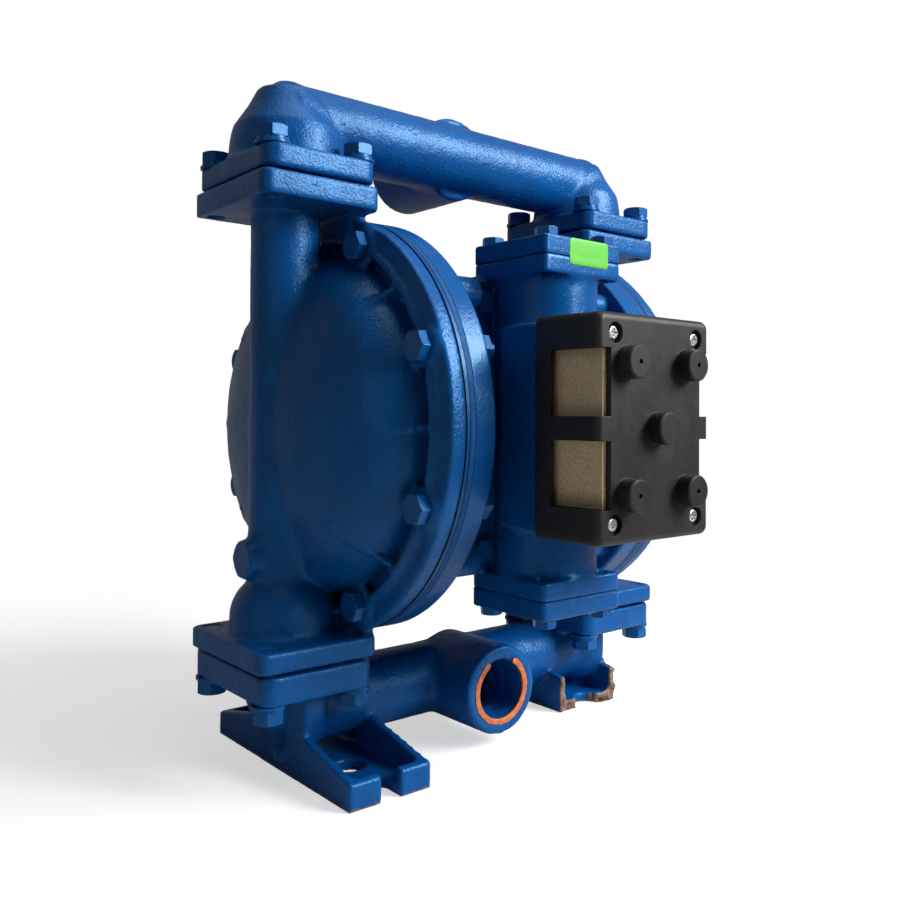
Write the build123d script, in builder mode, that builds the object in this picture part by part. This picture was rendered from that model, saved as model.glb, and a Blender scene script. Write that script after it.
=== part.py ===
"""Air operated double diaphragm pump with ball check valves, in millimetres.

Two dished outer chambers stand either side of a centre housing. A valve column is cast into each, and the
suction manifold below and the discharge manifold above join the two columns. One rod carries both
diaphragms from side to side. A vertical spool valve on the front of the centre housing sends compressed air
to one diaphragm and then the other, and breathes out through the black muffler.

While it is built, the rod lies along X at Y 0, the front is -Y and the floor is Z 0. save() then moves every
piece by the same amount along Y, so that the origin is the centre of the pump's own outline on the floor.
"""

import os
from math import cos, radians, sin, sqrt, tan

from build123d import *

os.makedirs("parts", exist_ok=True)

# ---------------------------------------------------------------- driving dimensions
# Layout
centre_half_width = 50.0  # centre plane to the sides of the centre housing
chamber_step = 53.0  # side of the centre housing to the outer chamber's joint face
column_step = 45.5  # that joint face to the valve column's axis
running_fit = 0.05  # radial gap of a part that slides in its bore
bolt_fit = 0.4  # radial gap of a bolt in a plain hole
thread_fit = 0.1  # radial gap of a bolt in a threaded hole
soft_gap = 0.3  # gap round a soft part
overlap = 1.0  # how far a shape runs into the one that it is cast with

# Outer chambers
flange_radius = 149.5
bolt_inset = 16.0  # from the rim to the bolts' circle
bolt_count = 8
first_bolt_angle = 22.5
rim_thickness = 12.5
boss_rise = 3.5  # the bolt bosses and the ring between them stand this far off the rim
boss_radius = 12.5
boss_taper = 40.0  # degrees
ring_width = 5.0  # the raised ring that joins the bolt bosses
groove_depth = 7.0  # below the rim's face, between the ring and the dome
groove_width = 10.0
shoulder_width = 26.0  # foot of the dome to the edge of its crown
dome_height = 64.0  # joint face to the top of the dome
crown_radius = 243.0
chamber_wall = 8.0
clamp_width = 35.5  # rim to the mouth of the liquid cavity
cavity_mouth = 7.0  # depth of the mouth's straight part
rib_thickness = 4.0
rib_angles = (0, 45, 135, 180, 225, 315)
rib_rise = 4.0  # the ribs' height off the dome's edge
rim_chamfer = 1.5

# Valve columns and their pads
column_radius = 24.0
column_bore_radius = 17.0
top_clearance = 16.5  # rim to the top pads' joint faces
bottom_clearance = 10.0  # rim to the bottom pads' joint faces
pad_length = 89.5  # along X
pad_width = 110.5  # along Y
pad_thickness = 14.5
pad_corner = 7.0
pad_web_length = 14.0  # joins the top pad to the rim
pad_web_width = 70.0
bulge_radius = 36.3  # round the suction ball's cage
bulge_straight = 26.0  # joint face to the end of the straight part
bulge_rise = 50.0
drain_boss_radius = 14.0
drain_boss_rise = 67.0  # above the bottom pads' joint faces
drain_boss_reach = 31.5  # from the column's axis

# Ball valves
ball_radius = 22.2
ball_lift = 12.0
seat_gap = 0.2  # gap that a ball keeps to its seat and to its stop
seat_outer_radius = 31.0
seat_bore_radius = 17.0
seat_rim_radius = 19.0
seat_cone_depth = 3.0
seat_recess = 4.0
seat_play = 0.3  # radial gap of a seat in its recess
seal_width = 2.5
cage_radius = 29.0
cage_shoulder_width = 12.0
cage_shoulder_height = 16.0

# Manifolds
manifold_gap = 2.0  # a seat and its seal hold the pads this far apart
manifold_pad_length = 84.5
manifold_pad_corner = 11.0
manifold_bolt_x = 32.5
manifold_bolt_y = 43.0
discharge_pad_thickness = 15.5
suction_pad_thickness = 18.5
pipe_radius = 27.3
pipe_bore_radius = 19.5
discharge_pipe_rise = 47.5  # pads' joint face to the pipe's axis
suction_pipe_height = 42.0  # floor to the pipe's axis
elbow_rise = 39.0  # suction pipe's axis to the pads' joint face
housing_radius = 39.5  # round the discharge balls
housing_straight = 21.0  # pad's joint face to the end of the straight part
housing_flank_radius = 26.0  # a point on the housing's round top
housing_flank_rise = 61.5  # pads' joint face to that point
housing_crown_radius = 5.0  # its small flat
housing_crown_rise = 75.5
housing_bore_radius = 30.0
housing_ceiling_rise = 67.5
ball_stop_radius = 6.0
housing_shoulder_rise = 35.5
housing_throat_radius = 14.0
elbow_radius = 35.0
well_radius = 21.0  # the bore under each suction seat
well_drop = 15.0  # below the pipe's axis
port_boss_radius = 33.2
port_reach = 67.0  # rod axis to each port's face, along Y
port_boss_tail = 22.0  # rod axis to the closed end of a port's boss
discharge_boss_tail = 5.0
port_thread_radius = 22.0  # tapping bore of a 1 1/2 inch pipe thread
port_thread_length = 24.0
port_bore_radius = 20.5
port_rebate_radius = 26.7
port_rebate_depth = 2.5

# Feet
foot_inner_reach = 60.5  # valve column's axis to the foot's inner wall
foot_outer_reach = 3.0
foot_half_length = 95.0
foot_floor = 8.0
foot_wall = 6.5
foot_end_height = 17.5
foot_middle_height = 33.0
foot_middle_half_length = 22.0
foot_corner = 5.0
foot_slot_width = 15.0
foot_slot_depth = 24.0
foot_hole_radius = 11.0
foot_hole_offset = 43.0
broken_foot_reach = 42.0  # the front of the right foot has broken off this far from the rod axis
broken_foot_slant = 5.0

# Diaphragms, plates and rod
overlay_thickness = 3.0
diaphragm_thickness = 4.5
diaphragm_hole = 8.6
plate_clearance = 4.0  # plates' edge to the rolled part of the diaphragm
outer_plate_edge = 6.0
outer_plate_rise = 15.0
inner_plate_edge = 6.0
inner_plate_rise = 10.5
rod_radius = 12.5
stud_radius = 8.0
stud_length = 13.0  # beyond the overlay
stroke = 16.0  # each way from the middle
roll_width = 23.0  # the diaphragm's rolled part, between the plates and the clamp
roll_clearance = 3.0  # rolled part to the mouth of the liquid cavity
roll_depth = 8.0

# Inner chambers
inner_ring_depth = 17.5
inner_ring_edge = 3.0
inner_bowl_corner = 18.0
hub_wall = 10.0
inner_wall = 8.0
inner_hub_radius = 60.0
lug_radius = 11.5
lug_length = 25.0
lug_inset = 2.5  # from the bolts' circle
lug_angles = (45, 135, 225, 315)
inner_screw_circle = 46.0
inner_screw_count = 6
inner_screw_radius = 4.0
inner_screw_head_radius = 6.5
inner_screw_head = 4.6
inner_screw_length = 18.0

# Centre housing
centre_front = 70.0
centre_back = 62.0
centre_half_height = 100.0
centre_corner = 12.0
centre_pocket_depth = 26.0
centre_pocket_half_width = 30.0
centre_pocket_half_height = 76.0
centre_rib = 10.0
valve_face = 76.0  # rod axis to the face that carries the air valve
valve_face_half_height = 104.0
bushing_radius = 18.0
bushing_length = 30.0
rod_seal_width = 5.0
rod_seal_radius = 16.5
inlet_boss_radius = 19.0
inlet_reach = 76.0
inlet_drop = 52.0
inlet_thread_radius = 9.2  # tapping bore of a 1/2 inch pipe thread
inlet_thread_length = 40.0

# Air passages
passage_radius = 6.0
passage_front = 38.0  # rod axis to the run towards each chamber
passage_drop = 30.0
passage_offset = 12.0  # centre plane to each passage from the valve

# Pilot valve
pilot_rise = 46.0
pilot_body_radius = 15.0
pilot_body_half_length = 34.0
pilot_spool_radius = 6.0
pilot_land_width = 8.0
pilot_waist_radius = 3.6
pilot_travel = 5.0
pilot_port_spacing = 14.0
pilot_port_radius = 2.5
plunger_radius = 4.0
plunger_bush_radius = 9.0
plunger_bush_length = 22.0
plunger_bush_flange = 11.5
plunger_bush_flange_length = 2.0

# Air valve
valve_square = 75.0
valve_radius = 36.5
valve_flange = 13.0
valve_half_height = 117.0  # rod axis to the end caps' joints
valve_back_inset = 2.0  # from the sides of the centre housing
valve_back_thickness = 12.0
valve_pad_half_width = 46.0
valve_pad_half_height = 69.0
valve_pad_face = 160.0
valve_corner = 3.0
end_cap_thickness = 12.0
cap_gasket = 0.8
cap_bolt_spacing = 55.0
sleeve_radius = 21.0
sleeve_bore_radius = 14.0
sleeve_port_width = 6.0
spool_land_width = 14.0
spool_waist_radius = 8.0
spool_lands = 5
spool_travel = 14.0
bumper_radius = 20.5
bumper_thickness = 6.0
exhaust_half_width = 18.0
exhaust_half_height = 30.0
mount_screw_x = 39.5
mount_screw_z = 88.0
mount_screw_length = 32.0

# Muffler
muffler_half_width = 55.0
muffler_half_height = 71.8
muffler_front = 215.0
muffler_wall = 4.0
muffler_edge = 6.0
window_top = 49.5
window_band = 7.5
window_wrap = 11.0
window_back = 173.0
muffler_screw_x = 40.0
muffler_screw_z = 58.7
muffler_post_radius = 8.6
screw_recess_radius = 6.6
screw_recess_depth = 4.0
knob_radius = 10.5
knob_length = 11.0
knob_edge = 1.0
knob_x = 29.0
knob_z = 41.0
knob_hole_radius = 1.6
knob_hole_depth = 3.0
foam_half_width = 47.0

# Fasteners
hex_bevel = 60.0  # degrees from the axis
bolt_radius = 6.0
bolt_flats = 19.0
bolt_head = 7.6
nut_height = 10.0
bolt_end = 5.0  # thread that shows past a nut
washer_radius = 11.5
washer_thickness = 2.0
lock_washer_radius = 10.2
lock_washer_thickness = 2.6
cap_bolt_radius = 4.8
cap_bolt_flats = 14.3
cap_bolt_head = 6.0
screw_radius = 2.4
screw_head_radius = 4.6
screw_head = 2.6
screw_length = 10.0  # thread held by the valve
slot_width = 1.4
slot_length = 5.6
slot_depth = 1.4

# Label
label_length = 39.0
label_height = 18.4
label_thickness = 0.5
label_corner = 3.0
label_offset = 4.5  # from the valve's axis, along X
label_rise = 3.2  # from the top cap's joint

# ---------------------------------------------------------------- derived places
joint_offset = centre_half_width + chamber_step
column_offset = joint_offset + column_step
foot_inner = column_offset - foot_inner_reach
foot_outer = column_offset + foot_outer_reach
inner_bowl_floor = centre_half_width + hub_wall
valve_back_half_width = centre_half_width - valve_back_inset
top_reach = flange_radius + top_clearance
bottom_reach = flange_radius + bottom_clearance
drain_boss_drop = bottom_reach - drain_boss_rise
bottom_pad_top = suction_pipe_height + elbow_rise
bottom_joint = bottom_pad_top + manifold_gap
axis_height = bottom_joint + bottom_reach
top_joint = axis_height + top_reach
top_pad_base = top_joint + manifold_gap
discharge_pipe_height = top_pad_base + discharge_pipe_rise
housing_ceiling = top_pad_base + housing_ceiling_rise
housing_shoulder = top_pad_base + housing_shoulder_rise
bolt_circle_radius = flange_radius - bolt_inset
ring_radius = bolt_circle_radius
lug_circle_radius = bolt_circle_radius - lug_inset
dome_foot_radius = ring_radius - ring_width / 2 - groove_width
crown_edge_radius = dome_foot_radius - shoulder_width
cavity_radius = flange_radius - clamp_width
inner_bowl_radius = cavity_radius - inner_bowl_corner
roll_end = cavity_radius - roll_clearance
roll_start = roll_end - roll_width
plate_radius = roll_start - plate_clearance
rim_face = joint_offset + rim_thickness
boss_face = rim_face + boss_rise
groove_floor = rim_face - groove_depth
dome_top = joint_offset + dome_height
diaphragm_face = joint_offset - overlay_thickness
inner_face = diaphragm_face - diaphragm_thickness
inner_ring_back = inner_face - inner_ring_depth
seat_thickness = seat_recess + manifold_gap
ball_rise = sqrt((ball_radius + seat_gap) ** 2 - seat_rim_radius**2)
valve_y = -(valve_face + valve_square / 2)
knob_front = muffler_front + knob_length
frame_shift = (knob_front - flange_radius) / 2
foot_centre = (foot_inner + foot_outer) / 2
foot_width = foot_outer - foot_inner
plate_bulge = outer_plate_rise - outer_plate_edge
plate_crown = (plate_radius**2 + plate_bulge**2) / (2 * plate_bulge)

rod_axis = Axis((0, 0, axis_height), (1, 0, 0))
# Sections: local x runs outwards to the left and local y runs up.
rod_section = Plane(origin=(0, 0, axis_height), x_dir=(-1, 0, 0), z_dir=(0, 1, 0))
column_section = Plane(origin=(-column_offset, 0, 0), x_dir=(-1, 0, 0), z_dir=(0, 1, 0))
column_axis = Axis((-column_offset, 0, 0), (0, 0, 1))


def left_plane(offset, rise=0.0):
    """A plane across the rod on the left, looking outwards: local x is the front, local y is up."""
    return Plane(origin=(-offset, 0, axis_height + rise), x_dir=(0, -1, 0), z_dir=(-1, 0, 0))


def front_plane(offset, height=axis_height):
    """A plane that looks forwards from a distance in front of the rod: local x is right, local y is up."""
    return Plane(origin=(0, -offset, height), x_dir=(1, 0, 0), z_dir=(0, -1, 0))


def right_plane(start, height):
    """A plane across the pump that looks right, from a place along X and at a height above the floor."""
    return Plane(origin=(start, 0, height), x_dir=(0, 1, 0), z_dir=(1, 0, 0))


def level_plane(height):
    """A level plane above the left column's foot: local x is right, local y is the back."""
    return Plane(origin=(-column_offset, 0, height))


def save(name, builder):
    """Label a finished piece, put it in the pump's frame and write its file."""
    builder.part.label = name
    export_step(builder.part.moved(Location((0, frame_shift, 0))), f"parts/{name}.step")


def save_pair(name, builder):
    """Write a left-hand piece, and the same piece turned round for the right."""
    save(f"left_{name}", builder)
    with BuildPart() as right:
        add(builder.part.rotate(Axis.Z, 180))
    save(f"right_{name}", right)


def save_both(name, builder):
    """Write a left-hand group and the same group turned round for the right as one piece."""
    with BuildPart() as both:
        add(builder.part)
        add(builder.part.rotate(Axis.Z, 180))
    save(name, both)


def cylinder(plane, radius, length, mode=Mode.ADD):
    """A round bar or hole from a plane, along its normal."""
    with BuildSketch(plane) as outline:
        Circle(radius)
    extrude(outline.sketch, amount=length, mode=mode)


def block(plane, width, height, length, mode=Mode.ADD):
    """A square-edged block or pocket from a plane, along its normal."""
    with BuildSketch(plane) as outline:
        Rectangle(width, height)
    extrude(outline.sketch, amount=length, mode=mode)


def rounded_block(plane, width, height, length, corner, mode=Mode.ADD):
    """A block or pocket with round corners, from a plane along its normal."""
    with BuildSketch(plane) as outline:
        RectangleRounded(width, height, corner)
    extrude(outline.sketch, amount=length, mode=mode)


def holes(plane, spots, radius, length, mode=Mode.SUBTRACT):
    """Round holes or bars at several spots of a plane, along its normal."""
    with BuildSketch(plane) as outline:
        with Locations(*spots):
            Circle(radius)
    extrude(outline.sketch, amount=length, mode=mode)


def turned_section(plane, axis, points, mode=Mode.ADD):
    """A solid of revolution whose half section is a polygon on a plane."""
    with BuildSketch(plane) as section:
        with BuildLine():
            Polyline(*points, close=True)
        make_face()
    revolve(section.sketch, axis=axis, mode=mode)


def hex_bars(plane, spots, flats, length):
    """Hexagon heads or nuts at several spots of a plane, along its normal, with softened corners."""
    with BuildSketch(plane) as outline:
        with Locations(*spots):
            RegularPolygon(flats / 2, 6, major_radius=False)
    extrude(outline.sketch, amount=length)
    with BuildSketch(plane) as cone:
        with Locations(*spots):
            Circle(flats / 2 + length * tan(radians(hex_bevel)))
    extrude(cone.sketch, amount=length, taper=hex_bevel, mode=Mode.INTERSECT)


def ring_spots(radius, angles):
    """Places on a circle."""
    return [(radius * cos(radians(angle)), radius * sin(radians(angle))) for angle in angles]


def corner_spots(across, along):
    """The four corners of a rectangle round a plane's origin."""
    return [(x, y) for x in (-across, across) for y in (-along, along)]


bolt_angles = [first_bolt_angle + 360 / bolt_count * number for number in range(bolt_count)]
bolt_spots = ring_spots(bolt_circle_radius, bolt_angles)
pad_bolt_spots = corner_spots(manifold_bolt_x, manifold_bolt_y)
mount_spots = corner_spots(mount_screw_x, mount_screw_z)
muffler_spots = corner_spots(muffler_screw_x, muffler_screw_z)

# ---------------------------------------------------------------- outer chambers
crown_centre = dome_top - crown_radius
crown_edge = crown_centre + sqrt(crown_radius**2 - crown_edge_radius**2)
inner_crown = crown_radius - chamber_wall
inner_edge_radius = crown_edge_radius * inner_crown / crown_radius
inner_edge = crown_centre + sqrt(inner_crown**2 - inner_edge_radius**2)
crown_slope = (-crown_edge_radius, crown_edge - crown_centre)  # along the dome at the crown's edge
ring_inner = ring_radius - ring_width / 2
ring_outer = ring_radius + ring_width / 2

with BuildPart() as outer_chamber:
    with BuildSketch(rod_section) as shell:
        with BuildLine():
            crown = RadiusArc((dome_top, 0), (crown_edge, crown_edge_radius), -crown_radius)
            TangentArc(crown @ 1, (groove_floor, dome_foot_radius), tangent=crown_slope)
            Polyline(
                (groove_floor, dome_foot_radius),
                (groove_floor, ring_inner),
                (boss_face, ring_inner),
                (boss_face, ring_outer),
                (rim_face, ring_outer),
                (rim_face, flange_radius - rim_chamfer),
                (rim_face - rim_chamfer, flange_radius),
                (joint_offset, flange_radius),
                (joint_offset, 0),
                (dome_top, 0),
            )
        make_face()
    revolve(axis=rod_axis)
    for angle in bolt_angles:
        spot = ring_spots(bolt_circle_radius, [angle])
        with BuildSketch(left_plane(boss_face)) as boss:
            with Locations(*spot):
                Circle(boss_radius)
        extrude(boss.sketch, amount=-boss_rise, taper=-boss_taper)
    for angle in rib_angles:
        with BuildSketch(rod_section.rotated((angle, 0, 0))) as rib:
            with BuildLine():
                Polyline(
                    (groove_floor - overlap, crown_edge_radius),
                    (crown_edge + rib_rise, crown_edge_radius - rib_rise),
                    (boss_face - overlap, ring_inner + overlap),
                    (groove_floor - overlap, ring_inner + overlap),
                    close=True,
                )
            make_face()
        extrude(rib.sketch, amount=rib_thickness / 2, both=True)
    cylinder(level_plane(bottom_joint), column_radius, top_joint - bottom_joint)
    with BuildSketch(column_section) as bulge:
        with BuildLine():
            Line((0, bottom_joint), (bulge_radius, bottom_joint))
            straight = Line((bulge_radius, bottom_joint), (bulge_radius, bottom_joint + bulge_straight))
            TangentArc(straight @ 1, (column_radius, bottom_joint + bulge_rise), tangent=(0, 1))
            Line((column_radius, bottom_joint + bulge_rise), (0, bottom_joint + bulge_rise))
            Line((0, bottom_joint + bulge_rise), (0, bottom_joint))
        make_face()
    revolve(bulge.sketch, axis=column_axis)
    rounded_block(level_plane(top_joint - pad_thickness), pad_length, pad_width, pad_thickness, pad_corner)
    rounded_block(level_plane(bottom_joint), pad_length, pad_width, pad_thickness, pad_corner)
    web_base = axis_height + ring_radius
    web_plane = Plane(origin=(-(joint_offset + pad_web_length / 2 + overlap), 0, web_base))
    block(web_plane, pad_web_length, pad_web_width, top_joint - pad_thickness + overlap - web_base)
    cylinder(left_plane(column_offset, -drain_boss_drop), drain_boss_radius, drain_boss_reach)
    # The liquid cavity, and the valve column's bore with the suction ball's cage at its foot
    with BuildSketch(rod_section) as cavity:
        with BuildLine():
            ceiling = RadiusArc((dome_top - chamber_wall, 0), (inner_edge, inner_edge_radius), -inner_crown)
            TangentArc(ceiling @ 1, (joint_offset + cavity_mouth, cavity_radius), tangent=crown_slope)
            Polyline(
                (joint_offset + cavity_mouth, cavity_radius),
                (joint_offset, cavity_radius),
                (joint_offset, 0),
                (dome_top - chamber_wall, 0),
            )
        make_face()
    revolve(cavity.sketch, axis=rod_axis, mode=Mode.SUBTRACT)
    cage_cosine = cage_shoulder_height / sqrt(cage_shoulder_height**2 + cage_shoulder_width**2)
    cage_sine = cage_shoulder_width / sqrt(cage_shoulder_height**2 + cage_shoulder_width**2)
    lifted = ball_rise + ball_lift
    cage_straight = lifted - (cage_radius * cage_cosine - ball_radius - seat_gap) / cage_sine
    turned_section(
        column_section,
        column_axis,
        [
            (0, bottom_joint),
            (cage_radius, bottom_joint),
            (cage_radius, bottom_joint + cage_straight),
            (cage_radius - cage_shoulder_width, bottom_joint + cage_straight + cage_shoulder_height),
            (column_bore_radius, top_joint - seat_recess),
            (seat_outer_radius + seat_play, top_joint - seat_recess),
            (seat_outer_radius + seat_play, top_joint),
            (0, top_joint),
        ],
        mode=Mode.SUBTRACT,
    )
    holes(left_plane(joint_offset), bolt_spots, bolt_radius + bolt_fit, boss_face - joint_offset)
    for height in (top_joint - pad_thickness, bottom_joint):
        holes(level_plane(height), pad_bolt_spots, bolt_radius + thread_fit, pad_thickness)
save_pair("outer_chamber", outer_chamber)

# ---------------------------------------------------------------- suction manifold and feet
foot_profile = [
    (-foot_half_length, 0),
    (foot_half_length, 0),
    (foot_half_length, foot_end_height),
    (foot_middle_half_length, foot_middle_height),
    (-foot_middle_half_length, foot_middle_height),
    (-foot_half_length, foot_end_height),
]
port_cone = [
    (0, port_reach),
    (port_rebate_radius, port_reach),
    (port_thread_radius, port_reach - port_rebate_depth),
    (port_thread_radius, port_reach - port_thread_length),
    (0, port_reach - port_thread_length),
]
both_columns = [(-column_offset, 0), (column_offset, 0)]

with BuildPart() as suction_manifold:
    for side in (-1, 1):
        centre = side * foot_centre
        with BuildSketch(Plane.YZ.offset(centre - foot_width / 2)) as foot:
            with BuildLine():
                Polyline(*foot_profile, close=True)
            make_face()
        extrude(foot.sketch, amount=foot_width)
        pit_length = 2 * (foot_half_length - foot_wall)
        pit = Plane(origin=(centre, 0, foot_floor))
        pit_width = foot_width - 2 * foot_wall
        rounded_block(pit, pit_width, pit_length, foot_middle_height, foot_corner, Mode.SUBTRACT)
        with BuildSketch() as openings:
            for end in (-1, 1):
                slot_middle = end * (foot_half_length - foot_slot_depth + foot_slot_width / 2)
                with Locations((centre, slot_middle)):
                    Circle(foot_slot_width / 2)
                with Locations((centre, slot_middle + end * foot_slot_depth / 2)):
                    Rectangle(foot_slot_width, foot_slot_depth)
                with Locations((centre, end * foot_hole_offset)):
                    Circle(foot_hole_radius)
        extrude(openings.sketch, amount=foot_middle_height, mode=Mode.SUBTRACT)
    with BuildSketch() as fracture:
        with BuildLine():
            Polyline(
                (foot_inner - overlap, -broken_foot_reach),
                (foot_outer + overlap, -broken_foot_reach - broken_foot_slant),
                (foot_outer + overlap, -foot_half_length - overlap),
                (foot_inner - overlap, -foot_half_length - overlap),
                close=True,
            )
        make_face()
    extrude(fracture.sketch, amount=foot_middle_height, mode=Mode.SUBTRACT)
    cylinder(right_plane(-column_offset, suction_pipe_height), pipe_radius, 2 * column_offset)
    for side in (-1, 1):
        elbow_plane = Plane(origin=(side * column_offset, 0, 0), x_dir=(1, 0, 0), z_dir=(0, -1, 0))
        with BuildSketch(elbow_plane) as elbow:
            with BuildLine():
                CenterArc((0, suction_pipe_height), elbow_radius, -90, 90)
                Polyline(
                    (elbow_radius, suction_pipe_height),
                    (elbow_radius, bottom_pad_top - overlap),
                    (0, bottom_pad_top - overlap),
                    (0, suction_pipe_height - elbow_radius),
                )
            make_face()
        revolve(elbow.sketch, axis=Axis((side * column_offset, 0, 0), (0, 0, 1)))
    for side in (-1, 1):
        pad_base = Plane(origin=(side * column_offset, 0, bottom_pad_top - suction_pad_thickness))
        rounded_block(pad_base, manifold_pad_length, pad_width, suction_pad_thickness, manifold_pad_corner)
    boss_length = port_reach + port_boss_tail
    cylinder(front_plane(-port_boss_tail, suction_pipe_height), port_boss_radius, boss_length)
    # The waterway
    pipe_start = right_plane(-column_offset, suction_pipe_height)
    cylinder(pipe_start, pipe_bore_radius, 2 * column_offset, Mode.SUBTRACT)
    well_floor = suction_pipe_height - well_drop
    holes(Plane.XY.offset(well_floor), both_columns, well_radius, bottom_pad_top - well_floor)
    holes(Plane.XY.offset(bottom_pad_top), both_columns, seat_outer_radius + seat_play, -seat_recess)
    cylinder(front_plane(0, suction_pipe_height), port_bore_radius, port_reach, Mode.SUBTRACT)
    suction_port_plane = Plane(origin=(0, 0, suction_pipe_height), x_dir=(1, 0, 0), z_dir=(0, 0, -1))
    turned_section(
        suction_port_plane, Axis((0, 0, suction_pipe_height), (0, -1, 0)), port_cone, Mode.SUBTRACT
    )
    for side in (-1, 1):
        underside = Plane(origin=(side * column_offset, 0, bottom_pad_top - suction_pad_thickness))
        holes(underside, pad_bolt_spots, bolt_radius + bolt_fit, suction_pad_thickness)
save("suction_manifold", suction_manifold)

# ---------------------------------------------------------------- discharge manifold
stop_height = top_pad_base + ball_rise + ball_lift + ball_radius + seat_gap

with BuildPart() as discharge_manifold:
    for side in (-1, 1):
        pad_base = Plane(origin=(side * column_offset, 0, top_pad_base))
        rounded_block(pad_base, manifold_pad_length, pad_width, discharge_pad_thickness, manifold_pad_corner)
        housing_plane = Plane(origin=(side * column_offset, 0, 0), x_dir=(1, 0, 0), z_dir=(0, -1, 0))
        shoulder = top_pad_base + housing_straight
        with BuildSketch(housing_plane) as housing:
            with BuildLine():
                flank_point = (housing_flank_radius, top_pad_base + housing_flank_rise)
                flank = TangentArc((housing_radius, shoulder), flank_point, tangent=(0, 1))
                housing_top = top_pad_base + housing_crown_rise
                TangentArc(flank @ 1, (housing_crown_radius, housing_top), tangent=flank % 1)
                Polyline(
                    (housing_crown_radius, housing_top),
                    (0, housing_top),
                    (0, top_pad_base),
                    (housing_radius, top_pad_base),
                    (housing_radius, shoulder),
                )
            make_face()
        revolve(housing.sketch, axis=Axis((side * column_offset, 0, 0), (0, 0, 1)))
    cylinder(right_plane(-column_offset, discharge_pipe_height), pipe_radius, 2 * column_offset)
    back_port = front_plane(-port_reach, discharge_pipe_height)
    cylinder(back_port, port_boss_radius, port_reach + discharge_boss_tail)
    # The waterway
    for side in (-1, 1):
        housing_plane = Plane(origin=(side * column_offset, 0, 0), x_dir=(1, 0, 0), z_dir=(0, -1, 0))
        cage_line = [
            (ball_stop_radius, housing_ceiling),
            (ball_stop_radius, stop_height),
            (0, stop_height),
            (0, top_pad_base),
            (housing_bore_radius, top_pad_base),
            (housing_bore_radius, housing_shoulder),
            (housing_throat_radius, housing_ceiling),
        ]
        turned_section(
            housing_plane, Axis((side * column_offset, 0, 0), (0, 0, 1)), cage_line, Mode.SUBTRACT
        )
    bore_reach = column_offset - pipe_bore_radius
    bore_start = right_plane(-bore_reach, discharge_pipe_height)
    cylinder(bore_start, pipe_bore_radius, 2 * bore_reach, Mode.SUBTRACT)
    cylinder(back_port, port_bore_radius, port_reach, Mode.SUBTRACT)
    discharge_port_plane = Plane(origin=(0, 0, discharge_pipe_height), x_dir=(1, 0, 0), z_dir=(0, 0, 1))
    turned_section(
        discharge_port_plane, Axis((0, 0, discharge_pipe_height), (0, 1, 0)), port_cone, Mode.SUBTRACT
    )
    for side in (-1, 1):
        pad_base = Plane(origin=(side * column_offset, 0, top_pad_base))
        holes(pad_base, pad_bolt_spots, bolt_radius + bolt_fit, discharge_pad_thickness)
save("discharge_manifold", discharge_manifold)

# ---------------------------------------------------------------- ball valves
seat_section = [
    (seat_bore_radius, 0),
    (seat_outer_radius, 0),
    (seat_outer_radius, seat_thickness),
    (seat_rim_radius, seat_thickness),
    (seat_bore_radius, seat_thickness - seat_cone_depth),
]
for level, seat_base in (("suction", bottom_pad_top - seat_recess), ("discharge", top_joint - seat_recess)):
    with BuildPart() as seat:
        turned_section(
            Plane(origin=(-column_offset, 0, seat_base), x_dir=(-1, 0, 0), z_dir=(0, 1, 0)),
            column_axis,
            seat_section,
        )
    save_pair(f"{level}_seat", seat)
    with BuildPart() as seal:
        with BuildSketch(level_plane(seat_base + seat_recess)) as ring:
            Circle(seat_outer_radius + seat_play + seal_width)
            Circle(seat_outer_radius + seat_play, mode=Mode.SUBTRACT)
        extrude(ring.sketch, amount=manifold_gap)
    save_both(f"{level}_seals", seal)
    with BuildPart() as ball:
        with Locations((-column_offset, 0, seat_base + seat_thickness + ball_rise)):
            Sphere(ball_radius)
    save_pair(f"{level}_ball", ball)

# ---------------------------------------------------------------- diaphragms, plates and rod
def rolled_disc(inner_side, outer_side, inset):
    """A clamped disc, rolled towards the centre between the plates' edge and the chambers' mouth."""
    start, end = roll_start + inset, roll_end - inset
    depth = roll_depth - inset
    with BuildSketch(rod_section) as section:
        with BuildLine():
            Line((inner_side, diaphragm_hole), (inner_side, start))
            ThreePointArc((inner_side, start), (inner_side - depth, (start + end) / 2), (inner_side, end))
            Polyline(
                (inner_side, end),
                (inner_side, flange_radius),
                (outer_side, flange_radius),
                (outer_side, end),
            )
            ThreePointArc((outer_side, end), (outer_side - depth, (start + end) / 2), (outer_side, start))
            Polyline((outer_side, start), (outer_side, diaphragm_hole), (inner_side, diaphragm_hole))
        make_face()
    revolve(section.sketch, axis=rod_axis)
    holes(left_plane(inner_side), bolt_spots, bolt_radius + soft_gap, outer_side - inner_side)


with BuildPart() as diaphragm:
    rolled_disc(inner_face, diaphragm_face, 0)
save_pair("diaphragm", diaphragm)

with BuildPart() as overlay:
    rolled_disc(diaphragm_face, joint_offset, soft_gap)
save_pair("overlay", overlay)

with BuildPart() as outer_plate:
    with BuildSketch(rod_section) as section:
        with BuildLine():
            plate_edge = Line((joint_offset, plate_radius), (joint_offset + outer_plate_edge, plate_radius))
            RadiusArc(plate_edge @ 1, (joint_offset + outer_plate_rise, 0), plate_crown)
            Polyline((joint_offset + outer_plate_rise, 0), (joint_offset, 0), (joint_offset, plate_radius))
        make_face()
    revolve(section.sketch, axis=rod_axis)
    cylinder(left_plane(joint_offset), stud_radius + thread_fit, stud_length + thread_fit, Mode.SUBTRACT)
save_pair("outer_plate", outer_plate)

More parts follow.
